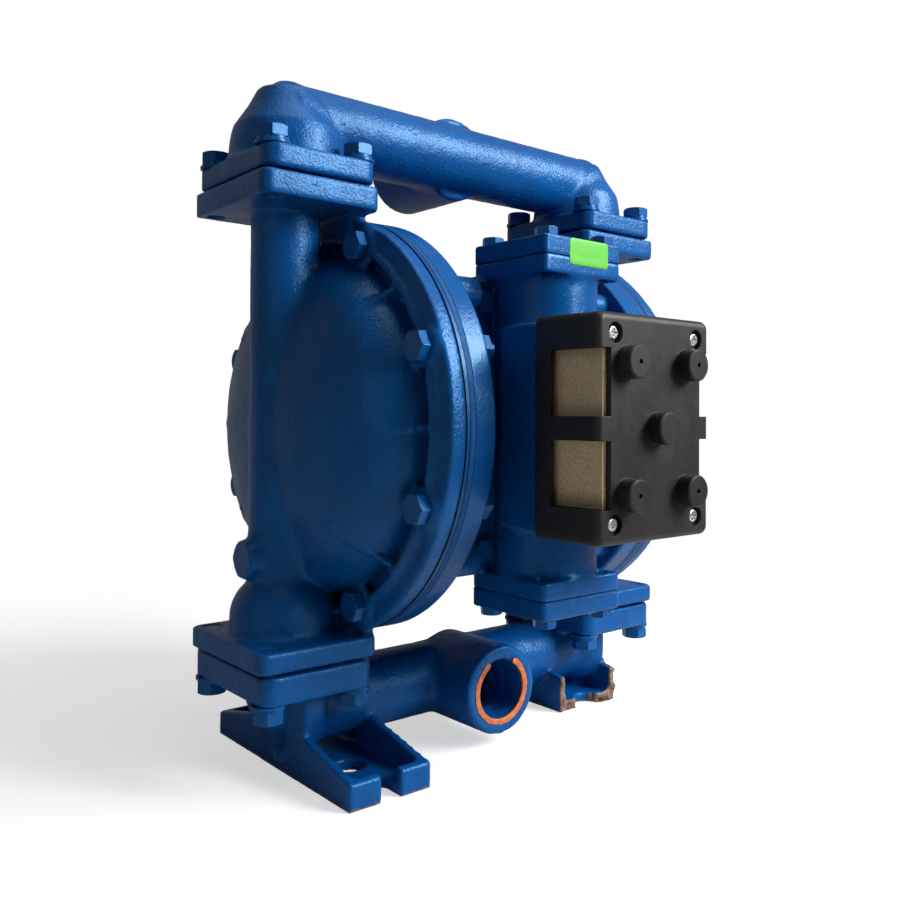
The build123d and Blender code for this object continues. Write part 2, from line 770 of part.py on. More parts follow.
plate_back = inner_face - inner_plate_rise
with BuildPart() as inner_plate:
    turned_section(
        rod_section,
        rod_axis,
        [
            (inner_face, diaphragm_hole),
            (inner_face, plate_radius),
            (inner_face - inner_plate_edge, plate_radius),
            (plate_back, plate_radius / 2),
            (plate_back, diaphragm_hole),
        ],
    )
save_pair("inner_plate", inner_plate)

with BuildPart() as rod:
    cylinder(left_plane(-plate_back), rod_radius, 2 * plate_back)
    stud_end = joint_offset + stud_length
    cylinder(left_plane(-stud_end), stud_radius, 2 * stud_end)
save("rod", rod)

# ---------------------------------------------------------------- inner chambers
inner_screw_angles = [360 / inner_screw_count * number for number in range(inner_screw_count)]
wall_spots = ring_spots(inner_screw_circle, inner_screw_angles)
passage_spots = [(-passage_front, -passage_drop), (passage_front, -passage_drop)]

with BuildPart() as inner_chamber:
    with BuildSketch(rod_section) as section:
        with BuildLine():
            Polyline(
                (inner_bowl_floor, 0),
                (inner_bowl_floor, inner_bowl_radius),
            )
            mouth = (inner_face - cavity_mouth, cavity_radius)
            TangentArc(mouth, (inner_bowl_floor, inner_bowl_radius), tangent=(-1, 0))
            Polyline(
                (inner_face - cavity_mouth, cavity_radius),
                (inner_face, cavity_radius),
                (inner_face, flange_radius),
                (inner_ring_back, flange_radius),
                (inner_ring_back, cavity_radius + inner_wall),
            )
            TangentArc(
                (inner_ring_back, cavity_radius + inner_wall),
                (inner_bowl_floor - inner_wall, inner_bowl_radius + inner_wall / 2),
                tangent=(-1, 0),
            )
            Polyline(
                (inner_bowl_floor - inner_wall, inner_bowl_radius + inner_wall / 2),
                (inner_bowl_floor - inner_wall, inner_hub_radius),
                (centre_half_width, inner_hub_radius),
                (centre_half_width, 0),
                (inner_bowl_floor, 0),
            )
        make_face()
    revolve(section.sketch, axis=rod_axis)
    rim_edges = inner_chamber.edges().filter_by(GeomType.CIRCLE).filter_by(
        lambda edge: abs(edge.radius - flange_radius) < overlap and edge.center().X > -inner_face + overlap
    )
    fillet(rim_edges, inner_ring_edge)
    lug_spots = ring_spots(lug_circle_radius, lug_angles)
    holes(left_plane(inner_ring_back - lug_length), lug_spots, lug_radius, lug_length + overlap, Mode.ADD)
    wall = inner_bowl_floor - centre_half_width
    cylinder(left_plane(centre_half_width), rod_radius + bolt_fit, wall, Mode.SUBTRACT)
    holes(left_plane(centre_half_width), wall_spots, inner_screw_radius + bolt_fit, wall)
    holes(left_plane(centre_half_width), [(0, pilot_rise)], plunger_bush_radius, wall)
    holes(left_plane(centre_half_width), passage_spots, passage_radius, wall)
    holes(left_plane(inner_ring_back), bolt_spots, bolt_radius + bolt_fit, inner_ring_depth)
save_pair("inner_chamber", inner_chamber)

# ---------------------------------------------------------------- centre housing
with BuildPart() as centre_housing:
    middle_y = (centre_back - centre_front) / 2
    side_plane = Plane(
        origin=(-centre_half_width, middle_y, axis_height), x_dir=(0, 1, 0), z_dir=(1, 0, 0)
    )
    rounded_block(
        side_plane, centre_front + centre_back, 2 * centre_half_height, 2 * centre_half_width, centre_corner
    )
    rounded_block(
        front_plane(centre_front - overlap),
        2 * valve_back_half_width,
        2 * valve_face_half_height,
        valve_face - centre_front + overlap,
        valve_corner,
    )
    rounded_block(
        Plane(origin=(0, centre_back, axis_height), x_dir=(1, 0, 0), z_dir=(0, -1, 0)),
        2 * centre_pocket_half_width,
        2 * centre_pocket_half_height,
        centre_pocket_depth,
        centre_corner,
        Mode.SUBTRACT,
    )
    block(
        Plane(origin=(0, centre_back, axis_height), x_dir=(1, 0, 0), z_dir=(0, -1, 0)),
        2 * centre_pocket_half_width,
        centre_rib,
        centre_pocket_depth,
    )
    inlet = front_plane(-inlet_reach, axis_height - inlet_drop)
    cylinder(inlet, inlet_boss_radius, inlet_thread_length)
    # Bores for the rod, the pilot valve and the air
    for x in (-centre_half_width, centre_half_width):
        inward = Plane(origin=(x, 0, axis_height), x_dir=(0, 1, 0), z_dir=(-1 if x > 0 else 1, 0, 0))
        cylinder(inward, bushing_radius, bushing_length + rod_seal_width, Mode.SUBTRACT)
        holes(inward, wall_spots, inner_screw_radius + thread_fit, inner_screw_length)
    cylinder(left_plane(-centre_half_width), rod_seal_radius, 2 * centre_half_width, Mode.SUBTRACT)
    pilot_bore = left_plane(-centre_half_width, pilot_rise)
    cylinder(pilot_bore, pilot_body_radius, 2 * centre_half_width, Mode.SUBTRACT)
    cylinder(inlet, inlet_thread_radius, inlet_thread_length, Mode.SUBTRACT)
    cylinder(inlet, passage_radius, inlet_reach + valve_face, Mode.SUBTRACT)
    for side in (-1, 1):
        holes(
            front_plane(passage_front, axis_height - passage_drop),
            [(side * passage_offset, 0)],
            passage_radius,
            valve_face - passage_front,
        )
        run = Plane(
            origin=(side * passage_offset, -passage_front, axis_height - passage_drop),
            x_dir=(0, 1, 0),
            z_dir=(side, 0, 0),
        )
        cylinder(run, passage_radius, centre_half_width - passage_offset, Mode.SUBTRACT)
    tapped_depth = mount_screw_length - valve_back_thickness
    holes(front_plane(valve_face), mount_spots, cap_bolt_radius + thread_fit, -tapped_depth)
save("centre_housing", centre_housing)

with BuildPart() as rod_bushing:
    bushing_end = centre_half_width - rod_seal_width
    bushing_start = left_plane(bushing_end - bushing_length)
    cylinder(bushing_start, bushing_radius, bushing_length)
    cylinder(bushing_start, rod_radius + running_fit, bushing_length, Mode.SUBTRACT)
save_pair("rod_bushing", rod_bushing)

with BuildPart() as rod_seal:
    cylinder(left_plane(bushing_end), bushing_radius, rod_seal_width)
    cylinder(left_plane(bushing_end), rod_radius + running_fit, rod_seal_width, Mode.SUBTRACT)
save_both("rod_seals", rod_seal)

with BuildPart() as housing_screws:
    holes(left_plane(inner_bowl_floor), wall_spots, inner_screw_head_radius, inner_screw_head, Mode.ADD)
    screw_depth = inner_screw_length - overlap + wall
    holes(left_plane(inner_bowl_floor), wall_spots, inner_screw_radius, -screw_depth, Mode.ADD)
save_both("housing_screws", housing_screws)

# ---------------------------------------------------------------- pilot valve
spool_reach = pilot_body_half_length - pilot_travel + overlap
plunger_tip = plate_back - stroke + pilot_travel - soft_gap

with BuildPart() as pilot_body:
    cylinder(left_plane(-pilot_body_half_length, pilot_rise), pilot_body_radius, 2 * pilot_body_half_length)
    cylinder(
        left_plane(-pilot_body_half_length, pilot_rise),
        pilot_spool_radius + running_fit,
        2 * pilot_body_half_length,
        Mode.SUBTRACT,
    )
    for x in (-pilot_port_spacing, 0, pilot_port_spacing):
        port_mouth = (x, pilot_body_radius, axis_height + pilot_rise)
        port = Plane(origin=port_mouth, x_dir=(1, 0, 0), z_dir=(0, -1, 0))
        cylinder(port, pilot_port_radius, 2 * pilot_body_radius, Mode.SUBTRACT)
save("pilot_body", pilot_body)

with BuildPart() as pilot_spool:
    cylinder(left_plane(-spool_reach, pilot_rise), pilot_waist_radius, 2 * spool_reach)
    for x in (-spool_reach, -pilot_land_width / 2, spool_reach - pilot_land_width):
        land = Plane(origin=(x, 0, axis_height + pilot_rise), x_dir=(0, 1, 0), z_dir=(1, 0, 0))
        cylinder(land, pilot_spool_radius, pilot_land_width)
save("pilot_spool", pilot_spool)

with BuildPart() as plunger:
    cylinder(left_plane(spool_reach, pilot_rise), plunger_radius, plunger_tip - spool_reach)
save_pair("plunger", plunger)

with BuildPart() as plunger_bush:
    bush_start = inner_bowl_floor - plunger_bush_length
    cylinder(left_plane(bush_start, pilot_rise), plunger_bush_radius, plunger_bush_length)
    cylinder(left_plane(inner_bowl_floor, pilot_rise), plunger_bush_flange, plunger_bush_flange_length)
    cylinder(
        left_plane(bush_start, pilot_rise),
        plunger_radius + running_fit,
        plunger_bush_length + plunger_bush_flange_length,
        Mode.SUBTRACT,
    )
save_pair("plunger_bush", plunger_bush)

# ---------------------------------------------------------------- air valve
flange_level = valve_half_height - valve_flange
cap_bolt_offset = cap_bolt_spacing / 2
cap_spots = corner_spots(cap_bolt_offset, cap_bolt_offset)


def valve_plane(rise):
    """A level plane at a rise above the middle of the air valve."""
    return Plane(origin=(0, valve_y, axis_height + rise))


def save_ends(name, builder):
    """Write the top end's piece, and the same piece turned over for the bottom."""
    save(f"top_{name}", builder)
    with BuildPart() as bottom:
        add(builder.part.rotate(Axis((0, valve_y, axis_height), (1, 0, 0)), 180))
    save(f"bottom_{name}", bottom)


with BuildPart() as valve_body:
    cylinder(valve_plane(-valve_half_height), valve_radius, 2 * valve_half_height)
    for rise in (-valve_half_height, flange_level):
        rounded_block(valve_plane(rise), valve_square, valve_square, valve_flange, valve_corner)
    rounded_block(
        front_plane(valve_face),
        2 * valve_back_half_width,
        2 * valve_face_half_height,
        valve_back_thickness,
        valve_corner,
    )
    rounded_block(
        front_plane(-valve_y),
        2 * valve_pad_half_width,
        2 * valve_pad_half_height,
        valve_pad_face + valve_y,
        valve_corner,
    )
    cylinder(valve_plane(-valve_half_height), sleeve_radius, 2 * valve_half_height, Mode.SUBTRACT)
    middle = front_plane(-valve_y)
    block(middle, 2 * exhaust_half_width, 2 * exhaust_half_height, valve_pad_face, Mode.SUBTRACT)
    inlet_mouth = front_plane(valve_face, axis_height - inlet_drop)
    cylinder(inlet_mouth, passage_radius, valve_square / 2, Mode.SUBTRACT)
    passage_mouth = front_plane(valve_face, axis_height - passage_drop)
    passages = [(-passage_offset, 0), (passage_offset, 0)]
    holes(passage_mouth, passages, passage_radius, valve_square / 2)
    holes(front_plane(valve_face), mount_spots, cap_bolt_radius + bolt_fit, valve_back_thickness)
    screw_hole = screw_length + overlap
    holes(front_plane(valve_pad_face), muffler_spots, screw_radius + thread_fit, -screw_hole)
    holes(valve_plane(flange_level), cap_spots, cap_bolt_radius + thread_fit, valve_flange)
    holes(valve_plane(-valve_half_height), cap_spots, cap_bolt_radius + thread_fit, valve_flange)
save("valve_body", valve_body)

sleeve_reach = valve_half_height - bumper_thickness
with BuildPart() as sleeve:
    cylinder(valve_plane(-sleeve_reach), sleeve_radius, 2 * sleeve_reach)
    cylinder(valve_plane(-sleeve_reach), sleeve_bore_radius, 2 * sleeve_reach, Mode.SUBTRACT)
    for rise in (-inlet_drop, -passage_drop, 0, passage_drop, inlet_drop):
        sleeve_front = (0, valve_y - sleeve_radius, axis_height + rise)
        level = Plane(origin=sleeve_front, x_dir=(1, 0, 0), z_dir=(0, 1, 0))
        corner = valve_corner - overlap
        port_length = 2 * sleeve_port_width
        rounded_block(level, port_length, sleeve_port_width, 2 * sleeve_radius, corner, Mode.SUBTRACT)
save("valve_sleeve", sleeve)

spool_length = 2 * sleeve_reach - spool_travel
with BuildPart() as spool:
    cylinder(valve_plane(-sleeve_reach), spool_waist_radius, spool_length)
    for number in range(spool_lands):
        rise = -sleeve_reach + number * (spool_length - spool_land_width) / (spool_lands - 1)
        cylinder(valve_plane(rise), sleeve_bore_radius - running_fit, spool_land_width)
save("valve_spool", spool)

with BuildPart() as bumper:
    cylinder(valve_plane(sleeve_reach), bumper_radius, bumper_thickness)
save_ends("bumper", bumper)

with BuildPart() as gasket:
    rounded_block(valve_plane(valve_half_height), valve_square, valve_square, cap_gasket, valve_corner)
    holes(valve_plane(valve_half_height), cap_spots, cap_bolt_radius + bolt_fit, cap_gasket)
save_ends("gasket", gasket)

cap_base = valve_half_height + cap_gasket
with BuildPart() as end_cap:
    rounded_block(valve_plane(cap_base), valve_square, valve_square, end_cap_thickness, valve_corner)
    chamfer(end_cap.faces().sort_by(Axis.Z)[-1].edges(), overlap)
    holes(valve_plane(cap_base), cap_spots, cap_bolt_radius + bolt_fit, end_cap_thickness)
save_ends("end_cap", end_cap)

with BuildPart() as cap_bolts:
    hex_bars(valve_plane(cap_base + end_cap_thickness), cap_spots, cap_bolt_flats, cap_bolt_head)
    shank = end_cap_thickness + cap_gasket + valve_flange - overlap
    holes(valve_plane(cap_base + end_cap_thickness), cap_spots, cap_bolt_radius, -shank, Mode.ADD)
save_ends("cap_bolts", cap_bolts)

with BuildPart() as mount_screws:
    face = front_plane(valve_face + valve_back_thickness)
    hex_bars(face, mount_spots, cap_bolt_flats, cap_bolt_head)
    holes(face, mount_spots, cap_bolt_radius, overlap - mount_screw_length, Mode.ADD)
save("valve_mount_screws", mount_screws)

with BuildPart() as label:
    label_middle = front_plane(valve_face + valve_square, axis_height + valve_half_height + label_rise)
    with BuildSketch(label_middle) as outline:
        with Locations((label_offset, 0)):
            RectangleRounded(label_length, label_height, label_corner)
    extrude(outline.sketch, amount=label_thickness)
save("label", label)

# ---------------------------------------------------------------- muffler
muffler_inside = muffler_front - muffler_wall
muffler_depth = muffler_front - valve_pad_face

with BuildPart() as muffler:
    muffler_back = front_plane(valve_pad_face)
    rounded_block(muffler_back, 2 * muffler_half_width, 2 * muffler_half_height, muffler_depth, muffler_edge)
    fillet(muffler.faces().sort_by(Axis.Y)[0].edges(), muffler_edge - overlap)
    rounded_block(
        front_plane(valve_pad_face),
        2 * (muffler_half_width - muffler_wall),
        2 * (muffler_half_height - muffler_wall),
        muffler_depth - muffler_wall,
        muffler_edge - muffler_wall,
        Mode.SUBTRACT,
    )
    holes(muffler_back, muffler_spots, muffler_post_radius, muffler_depth - muffler_wall, Mode.ADD)
    window_height = window_top - window_band
    for side in (-1, 1):
        for level in (-1, 1):
            middle = (side * muffler_half_width, level * (window_top + window_band) / 2)
            with BuildSketch(front_plane(window_back)) as window:
                with Locations(middle):
                    Rectangle(2 * window_wrap, window_height)
            extrude(window.sketch, amount=muffler_front, mode=Mode.SUBTRACT)
    holes(front_plane(muffler_front), muffler_spots, screw_recess_radius, -screw_recess_depth)
    holes(front_plane(valve_pad_face), muffler_spots, screw_radius + bolt_fit, muffler_depth)
    knob_spots = [(x, z) for x in (-knob_x, knob_x) for z in (-knob_z, knob_z)]
    with BuildSketch(front_plane(muffler_front)) as knobs:
        with Locations((0, 0), *knob_spots):
            Circle(knob_radius)
    extrude(knobs.sketch, amount=knob_length)
    chamfer(muffler.faces().group_by(Axis.Y)[0].edges(), knob_edge)
    holes(front_plane(knob_front), knob_spots, knob_hole_radius, -knob_hole_depth)
save("muffler", muffler)

with BuildPart() as foam:
    foam_depth = muffler_inside - soft_gap - valve_pad_face
    block(front_plane(valve_pad_face), 2 * foam_half_width, 2 * window_top, foam_depth)
save("muffler_foam", foam)

with BuildPart() as muffler_screws:
    head_seat = muffler_front - screw_recess_depth
    holes(front_plane(head_seat), muffler_spots, screw_head_radius, screw_head, Mode.ADD)
    fillet(muffler_screws.faces().group_by(Axis.Y)[0].edges(), screw_head - overlap)
    screw_depth = head_seat - valve_pad_face + screw_length
    holes(front_plane(head_seat), muffler_spots, screw_radius, -screw_depth, Mode.ADD)
    with BuildSketch(front_plane(head_seat + screw_head)) as slots:
        with Locations(*muffler_spots):
            Rectangle(slot_length, slot_width)
            Rectangle(slot_width, slot_length)
    extrude(slots.sketch, amount=-slot_depth, mode=Mode.SUBTRACT)
save("muffler_screws", muffler_screws)

# ---------------------------------------------------------------- chamber and manifold bolts
clamp_length = boss_face - inner_ring_back
with BuildPart() as chamber_bolts:
    hex_bars(left_plane(boss_face), bolt_spots, bolt_flats, bolt_head)
    reach = clamp_length + nut_height + bolt_end
    holes(left_plane(boss_face), bolt_spots, bolt_radius, -reach, Mode.ADD)
save_pair("chamber_bolts", chamber_bolts)

with BuildPart() as chamber_nuts:
    hex_bars(left_plane(inner_ring_back - nut_height), bolt_spots, bolt_flats, nut_height)
    holes(left_plane(inner_ring_back - nut_height), bolt_spots, bolt_radius + thread_fit, nut_height)
save_pair("chamber_nuts", chamber_nuts)

washer_stack = washer_thickness + lock_washer_thickness
discharge_pad_top = top_pad_base + discharge_pad_thickness
suction_pad_base = bottom_pad_top - suction_pad_thickness
for level, face_height, up, pad_depth in (
    ("discharge", discharge_pad_top, 1, discharge_pad_thickness),
    ("suction", suction_pad_base, -1, suction_pad_thickness),
):
    face = Plane(origin=(-column_offset, 0, face_height), z_dir=(0, 0, up))
    with BuildPart() as washers:
        holes(face, pad_bolt_spots, washer_radius, washer_thickness, Mode.ADD)
        lock_face = face.offset(washer_thickness)
        holes(lock_face, pad_bolt_spots, lock_washer_radius, lock_washer_thickness, Mode.ADD)
        holes(face, pad_bolt_spots, bolt_radius + bolt_fit, washer_stack)
    save_both(f"{level}_washers", washers)
    with BuildPart() as manifold_bolts:
        hex_bars(face.offset(washer_stack), pad_bolt_spots, bolt_flats, bolt_head)
        reach = washer_stack + pad_depth + manifold_gap + pad_thickness - overlap
        holes(face.offset(washer_stack), pad_bolt_spots, bolt_radius, -reach, Mode.ADD)
    save_both(f"{level}_bolts", manifold_bolts)
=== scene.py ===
"""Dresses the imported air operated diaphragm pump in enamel, mouldings, fasteners and studio light.

Everything is in metres in the pump's own frame: the rod lies along X, the muffler faces -Y and the feet stand
on Z 0. The centre plane of the chambers, and so the rod, is at Y ROD_Y.
"""

import logging
import math
from dataclasses import dataclass
from enum import Enum
from typing import Optional, Sequence, Union

import bmesh
import bpy
import numpy as np
from mathutils import Matrix, Vector


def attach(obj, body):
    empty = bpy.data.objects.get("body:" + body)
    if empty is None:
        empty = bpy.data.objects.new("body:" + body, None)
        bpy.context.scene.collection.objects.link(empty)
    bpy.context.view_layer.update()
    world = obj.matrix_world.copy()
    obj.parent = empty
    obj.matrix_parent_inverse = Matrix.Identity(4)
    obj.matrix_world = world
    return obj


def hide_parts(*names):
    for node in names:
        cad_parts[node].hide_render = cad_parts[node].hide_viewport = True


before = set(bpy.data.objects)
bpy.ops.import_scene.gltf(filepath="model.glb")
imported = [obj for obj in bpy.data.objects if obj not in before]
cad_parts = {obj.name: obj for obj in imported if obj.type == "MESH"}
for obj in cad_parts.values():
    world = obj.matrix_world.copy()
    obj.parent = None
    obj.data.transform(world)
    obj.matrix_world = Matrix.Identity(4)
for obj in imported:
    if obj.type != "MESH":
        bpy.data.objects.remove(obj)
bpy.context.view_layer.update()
LOG = logging.getLogger("pump")

ROD_Y = 0.03825
ROD_Z = 0.2425
COLUMN_X = 0.1485
SUCTION_PIPE_Z = 0.042
FRACTURE_Y = -0.0065

Colour = tuple[float, float, float, float]
Value = Union["Socket", float, Sequence[float]]

BLUE: Colour = (0.001, 0.084, 0.3, 1.0)
DEEP_BLUE: Colour = (0.0008, 0.032, 0.142, 1.0)
BLUE_GLARE: Colour = (0.28, 0.62, 1.0, 1.0)
BLACK: Colour = (0.0, 0.0, 0.0, 1.0)
PURE_WHITE: Colour = (1.0, 1.0, 1.0, 1.0)
# Lighter blue for enamel edges: partly worn thin paint, partly a painted highlight along the edges.
WORN_HIGHLIT_BLUE: Colour = (0.03, 0.13, 0.33, 1.0)
CHIP_BROWN: Colour = (0.16, 0.13, 0.115, 1.0)
RUST: Colour = (0.135, 0.066, 0.038, 1.0)
PALE_RUST: Colour = (0.32, 0.2, 0.13, 1.0)
JOINT_LINE: Colour = (0.001, 0.004, 0.01, 1.0)
TAN: Colour = (0.5, 0.35, 0.18, 1.0)
PALE_TAN: Colour = (0.95, 0.74, 0.46, 1.0)
# Dark brown of the painted shade in the felt's pores and towards its top and bottom edges.
FELT_SHADE: Colour = (0.09, 0.062, 0.035, 1.0)
LIME: Colour = (0.115, 0.52, 0.05, 1.0)
DEEP_LIME: Colour = (0.095, 0.43, 0.04, 1.0)
SCUFFED_LIME: Colour = (0.08, 0.34, 0.05, 1.0)
COPPER: Colour = (0.62, 0.17, 0.055, 1.0)
DEEP_COPPER: Colour = (0.42, 0.095, 0.035, 1.0)
PALE_COPPER: Colour = (0.8, 0.36, 0.2, 1.0)
FLOOR_GREY: Colour = (0.6, 0.6, 0.6, 1.0)
DEEP_FLOOR_GREY: Colour = (0.57, 0.57, 0.58, 1.0)


class Side(Enum):
    """Which end of the rod a piece belongs to, as its CAD node's name says it."""

    LEFT = "left_"
    RIGHT = "right_"


# ---------------------------------------------------------------- shader arithmetic
class Socket:
    """One output of a node, which takes part in arithmetic: each operator adds one Math node."""

    def __init__(self, shader: "Shader", output: bpy.types.NodeSocket) -> None:
        """Wrap a node's output."""
        self.shader = shader
        self.output = output

    def __add__(self, other: Value) -> "Socket":
        """Sum."""
        return self.shader.maths("ADD", self, other)

    def __radd__(self, other: Value) -> "Socket":
        """Sum, with the number first."""
        return self.shader.maths("ADD", other, self)

    def __sub__(self, other: Value) -> "Socket":
        """Difference."""
        return self.shader.maths("SUBTRACT", self, other)

    def __rsub__(self, other: Value) -> "Socket":
        """Difference, with the number first."""
        return self.shader.maths("SUBTRACT", other, self)

    def __mul__(self, other: Value) -> "Socket":
        """Product."""
        return self.shader.maths("MULTIPLY", self, other)

    def __rmul__(self, other: Value) -> "Socket":
        """Product, with the number first."""
        return self.shader.maths("MULTIPLY", other, self)


class Shader:
    """The nodes of one material, or of the world."""

    def __init__(self, holder: Union[bpy.types.Material, bpy.types.World]) -> None:
        """Empty the node tree of a new material or world."""
        self.holder = holder
        holder.use_nodes = True
        self.tree = holder.node_tree
        self.tree.nodes.clear()

    def node(
        self,
        kind: str,
        settings: Optional[dict[str, object]] = None,
        inputs: Optional[dict[Union[str, int], Value]] = None,
        output: Union[str, int] = 0,
    ) -> Socket:
        """Add one node.

        Args:
            kind: the node's type.
            settings: its own settings, set first; "stops" is a ramp's list of place and grey level.
            inputs: numbers, colours or links for its sockets.
            output: which of its outputs is wanted.

        Returns:
            That output, or an input where the node closes the tree and has no output.
        """
        made = self.tree.nodes.new(kind)
        for key, value in (settings or {}).items():
            if key == "stops":
                ramp = made.color_ramp.elements
                while len(ramp) < len(value):
                    ramp.new(0.5)
                for element, (place, level) in zip(ramp, value):
                    element.position = place
                    element.color = (level, level, level, 1.0)
            else:
                setattr(made, key, value)
        for key, value in (inputs or {}).items():
            if isinstance(value, Socket):
                self.tree.links.new(value.output, made.inputs[key])
            else:
                made.inputs[key].default_value = value
        ends = made.outputs if len(made.outputs) else made.inputs
        return Socket(self, ends[output])

    def maths(self, operation: str, first: Value, second: Value = 0.0) -> Socket:
        """A Math node on two numbers."""
        return self.node("ShaderNodeMath", {"operation": operation}, {0: first, 1: second})

    def clamp(self, value: Socket, low: float, high: float) -> Socket:
        """Stretch low..high of a value to 0..1 with a smooth step, and stop it there."""
        return self.node(
            "ShaderNodeMapRange",
            {"interpolation_type": "SMOOTHSTEP"},
            {"Value": value, "From Min": low, "From Max": high, "To Min": 0.0, "To Max": 1.0},
        )

    def mix(self, share: Value, first: Value, second: Value) -> Socket:
        """Blend two colours."""
        return self.node("ShaderNodeMix", {"data_type": "RGBA"}, {0: share, 6: first, 7: second}, 2)

    def place(self) -> Socket:
        """Where a point is in the pump's frame, in metres."""
        return self.node("ShaderNodeTexCoord", output="Object")

    def split(self, vector: Socket, axis: str) -> Socket:
        """One of a vector's parts, X, Y or Z."""
        return self.node("ShaderNodeSeparateXYZ", inputs={0: vector}, output=axis)

    def along(self, axis: str) -> Socket:
        """Where a point is along one axis of the pump's frame, in metres."""
        return self.split(self.place(), axis)

    def noise(self, size: float, detail: float = 2.0, rough: float = 0.5, twist: float = 0.0) -> Socket:
        """Cloudy noise round 0.5 whose patches have about a size, in metres."""
        settings = {"Vector": self.place(), "Scale": 1 / size, "Detail": detail, "Roughness": rough}
        return self.node("ShaderNodeTexNoise", inputs={**settings, "Distortion": twist})

    def cells(self, size: float, feature: str = "F1") -> Socket:
        """The distance to scattered points that lie about a size apart, in sizes."""
        inputs = {"Vector": self.place(), "Scale": 1 / size}
        return self.node("ShaderNodeTexVoronoi", {"feature": feature}, inputs)

    def streaks(self, size: float, stretch: Sequence[float]) -> Socket:
        """Noise drawn out along an axis, as tool and rolling marks are."""
        scaled = self.node("ShaderNodeMapping", inputs={"Vector": self.place(), "Scale": stretch})
        return self.node("ShaderNodeTexNoise", inputs={"Vector": scaled, "Scale": 1 / size, "Detail": 2.0})

    def edges(self, radius: float) -> tuple[Socket, Socket]:
        """Soften a solid's sharp edges.

        Args:
            radius: the soft edge's radius in metres.

        Returns:
            The rounded normal, and how much it turns from the flat one: 0 on a face, near 1 on an edge.
        """
        rounded = self.node("ShaderNodeBevel", {"samples": 6}, {"Radius": radius})
        flat = self.node("ShaderNodeNewGeometry", output="True Normal")
        same = self.node("ShaderNodeVectorMath", {"operation": "DOT_PRODUCT"}, {0: rounded, 1: flat}, "Value")
        return rounded, self.clamp(1.0 - same, 0.02, 0.3)

    def bump(self, height: Socket, depth: float, normal: Optional[Socket] = None) -> Socket:
        """Relief of a height in 0..1 times a depth in metres."""
        inputs: dict[Union[str, int], Value] = {"Strength": 1.0, "Distance": depth, "Height": height}
        if normal is not None:
            inputs["Normal"] = normal
        return self.node("ShaderNodeBump", inputs=inputs)

    def finish(self, **sockets: Value) -> bpy.types.Material:
        """Close the material with one Principled shader.

        Args:
            sockets: its sockets by name, with _ for a space.

        Returns:
            The material.
        """
        named = {key.replace("_", " "): value for key, value in sockets.items()}
        surface = self.node("ShaderNodeBsdfPrincipled", inputs=named)
        self.node("ShaderNodeOutputMaterial", inputs={"Surface": surface})
        return self.holder


# ---------------------------------------------------------------- finishes
@dataclass(frozen=True)
class Enamel:
    """Deep blue enamel over iron: pebbly where the casting is raw, smooth where it was machined."""

    name: str
    grain: float
    colour: Colour = BLUE
    shade: Colour = DEEP_BLUE
    roughness: float = 0.31
    edge: float = 0.0
    chips: float = 0.0
    foot_wear: bool = False

    def fracture(self, shader: Shader) -> Socket:
        """Where the front of the right foot has broken away: 1 on the bare broken iron."""
        flat = shader.node("ShaderNodeNewGeometry", output="Normal")
        facing = shader.clamp(0.0 - shader.split(flat, "Y"), 0.15, 0.45)
        depth = shader.maths("ABSOLUTE", shader.along("Y") - FRACTURE_Y)
        near = 1.0 - shader.clamp(depth, 0.0075, 0.0095)
        low = 1.0 - shader.clamp(shader.along("Z"), 0.032, 0.035)
        return facing * near * low * shader.clamp(shader.along("X"), 0.08, 0.085)

    def make(self) -> bpy.types.Material:
        """Build the material."""
        shader = Shader(bpy.data.materials.new(self.name))
        cloud = shader.clamp(shader.noise(0.045, 3.0, 0.6), 0.3, 0.75)
        mottle = shader.noise(0.006, 4.0, 0.65)
        colour = shader.mix(cloud * 0.45 + mottle * 0.2, self.colour, self.shade)
        pebbles = shader.noise(0.0021, 3.0, 0.6)
        pits = 1.0 - shader.clamp(shader.cells(0.0075), 0.03, 0.16)
        height = pebbles * 0.8 + shader.noise(0.012, 2.0) * 0.7 - pits * 0.5
        rounded: Optional[Socket] = None
        if self.edge:
            rounded, turned = shader.edges(self.edge)
            # Edges painted lighter: partly thin worn paint, partly a painted highlight along the edges.
            worn_and_highlit = turned * shader.clamp(shader.noise(0.004, 4.0, 0.7), 0.5, 0.66)
            colour = shader.mix(worn_and_highlit * 0.35, colour, WORN_HIGHLIT_BLUE)
        roughness = mottle * 0.16 + cloud * 0.08 + (self.roughness - 0.12)
        if self.chips:
            spots = 1.0 - shader.clamp(shader.cells(0.021) + shader.noise(0.003) * 0.22, 0.13, 0.15)
            chipped = spots * shader.clamp(shader.noise(0.06, 2.0), 0.56, 0.6) * self.chips
            colour = shader.mix(chipped, colour, CHIP_BROWN)
            height = height - chipped * 0.8
        if self.foot_wear:
            z = shader.along("Z") + shader.noise(0.008, 3.0) * 0.0045
            rubbed = 1.0 - shader.clamp(z, 0.0026, 0.0042)
            bare = shader.maths("MAXIMUM", rubbed, self.fracture(shader))
            rust = shader.mix(shader.clamp(shader.noise(0.004, 5.0, 0.7), 0.38, 0.62), RUST, PALE_RUST)
            colour = shader.mix(bare, colour, rust)
            roughness = roughness + bare * 0.35
            height = height + bare * shader.noise(0.0035, 4.0, 0.7) * 2.0
        return shader.finish(
            Base_Color=colour,
            Roughness=roughness,
            Specular_Tint=BLUE_GLARE,
            Normal=shader.bump(height, self.grain, rounded),
        )


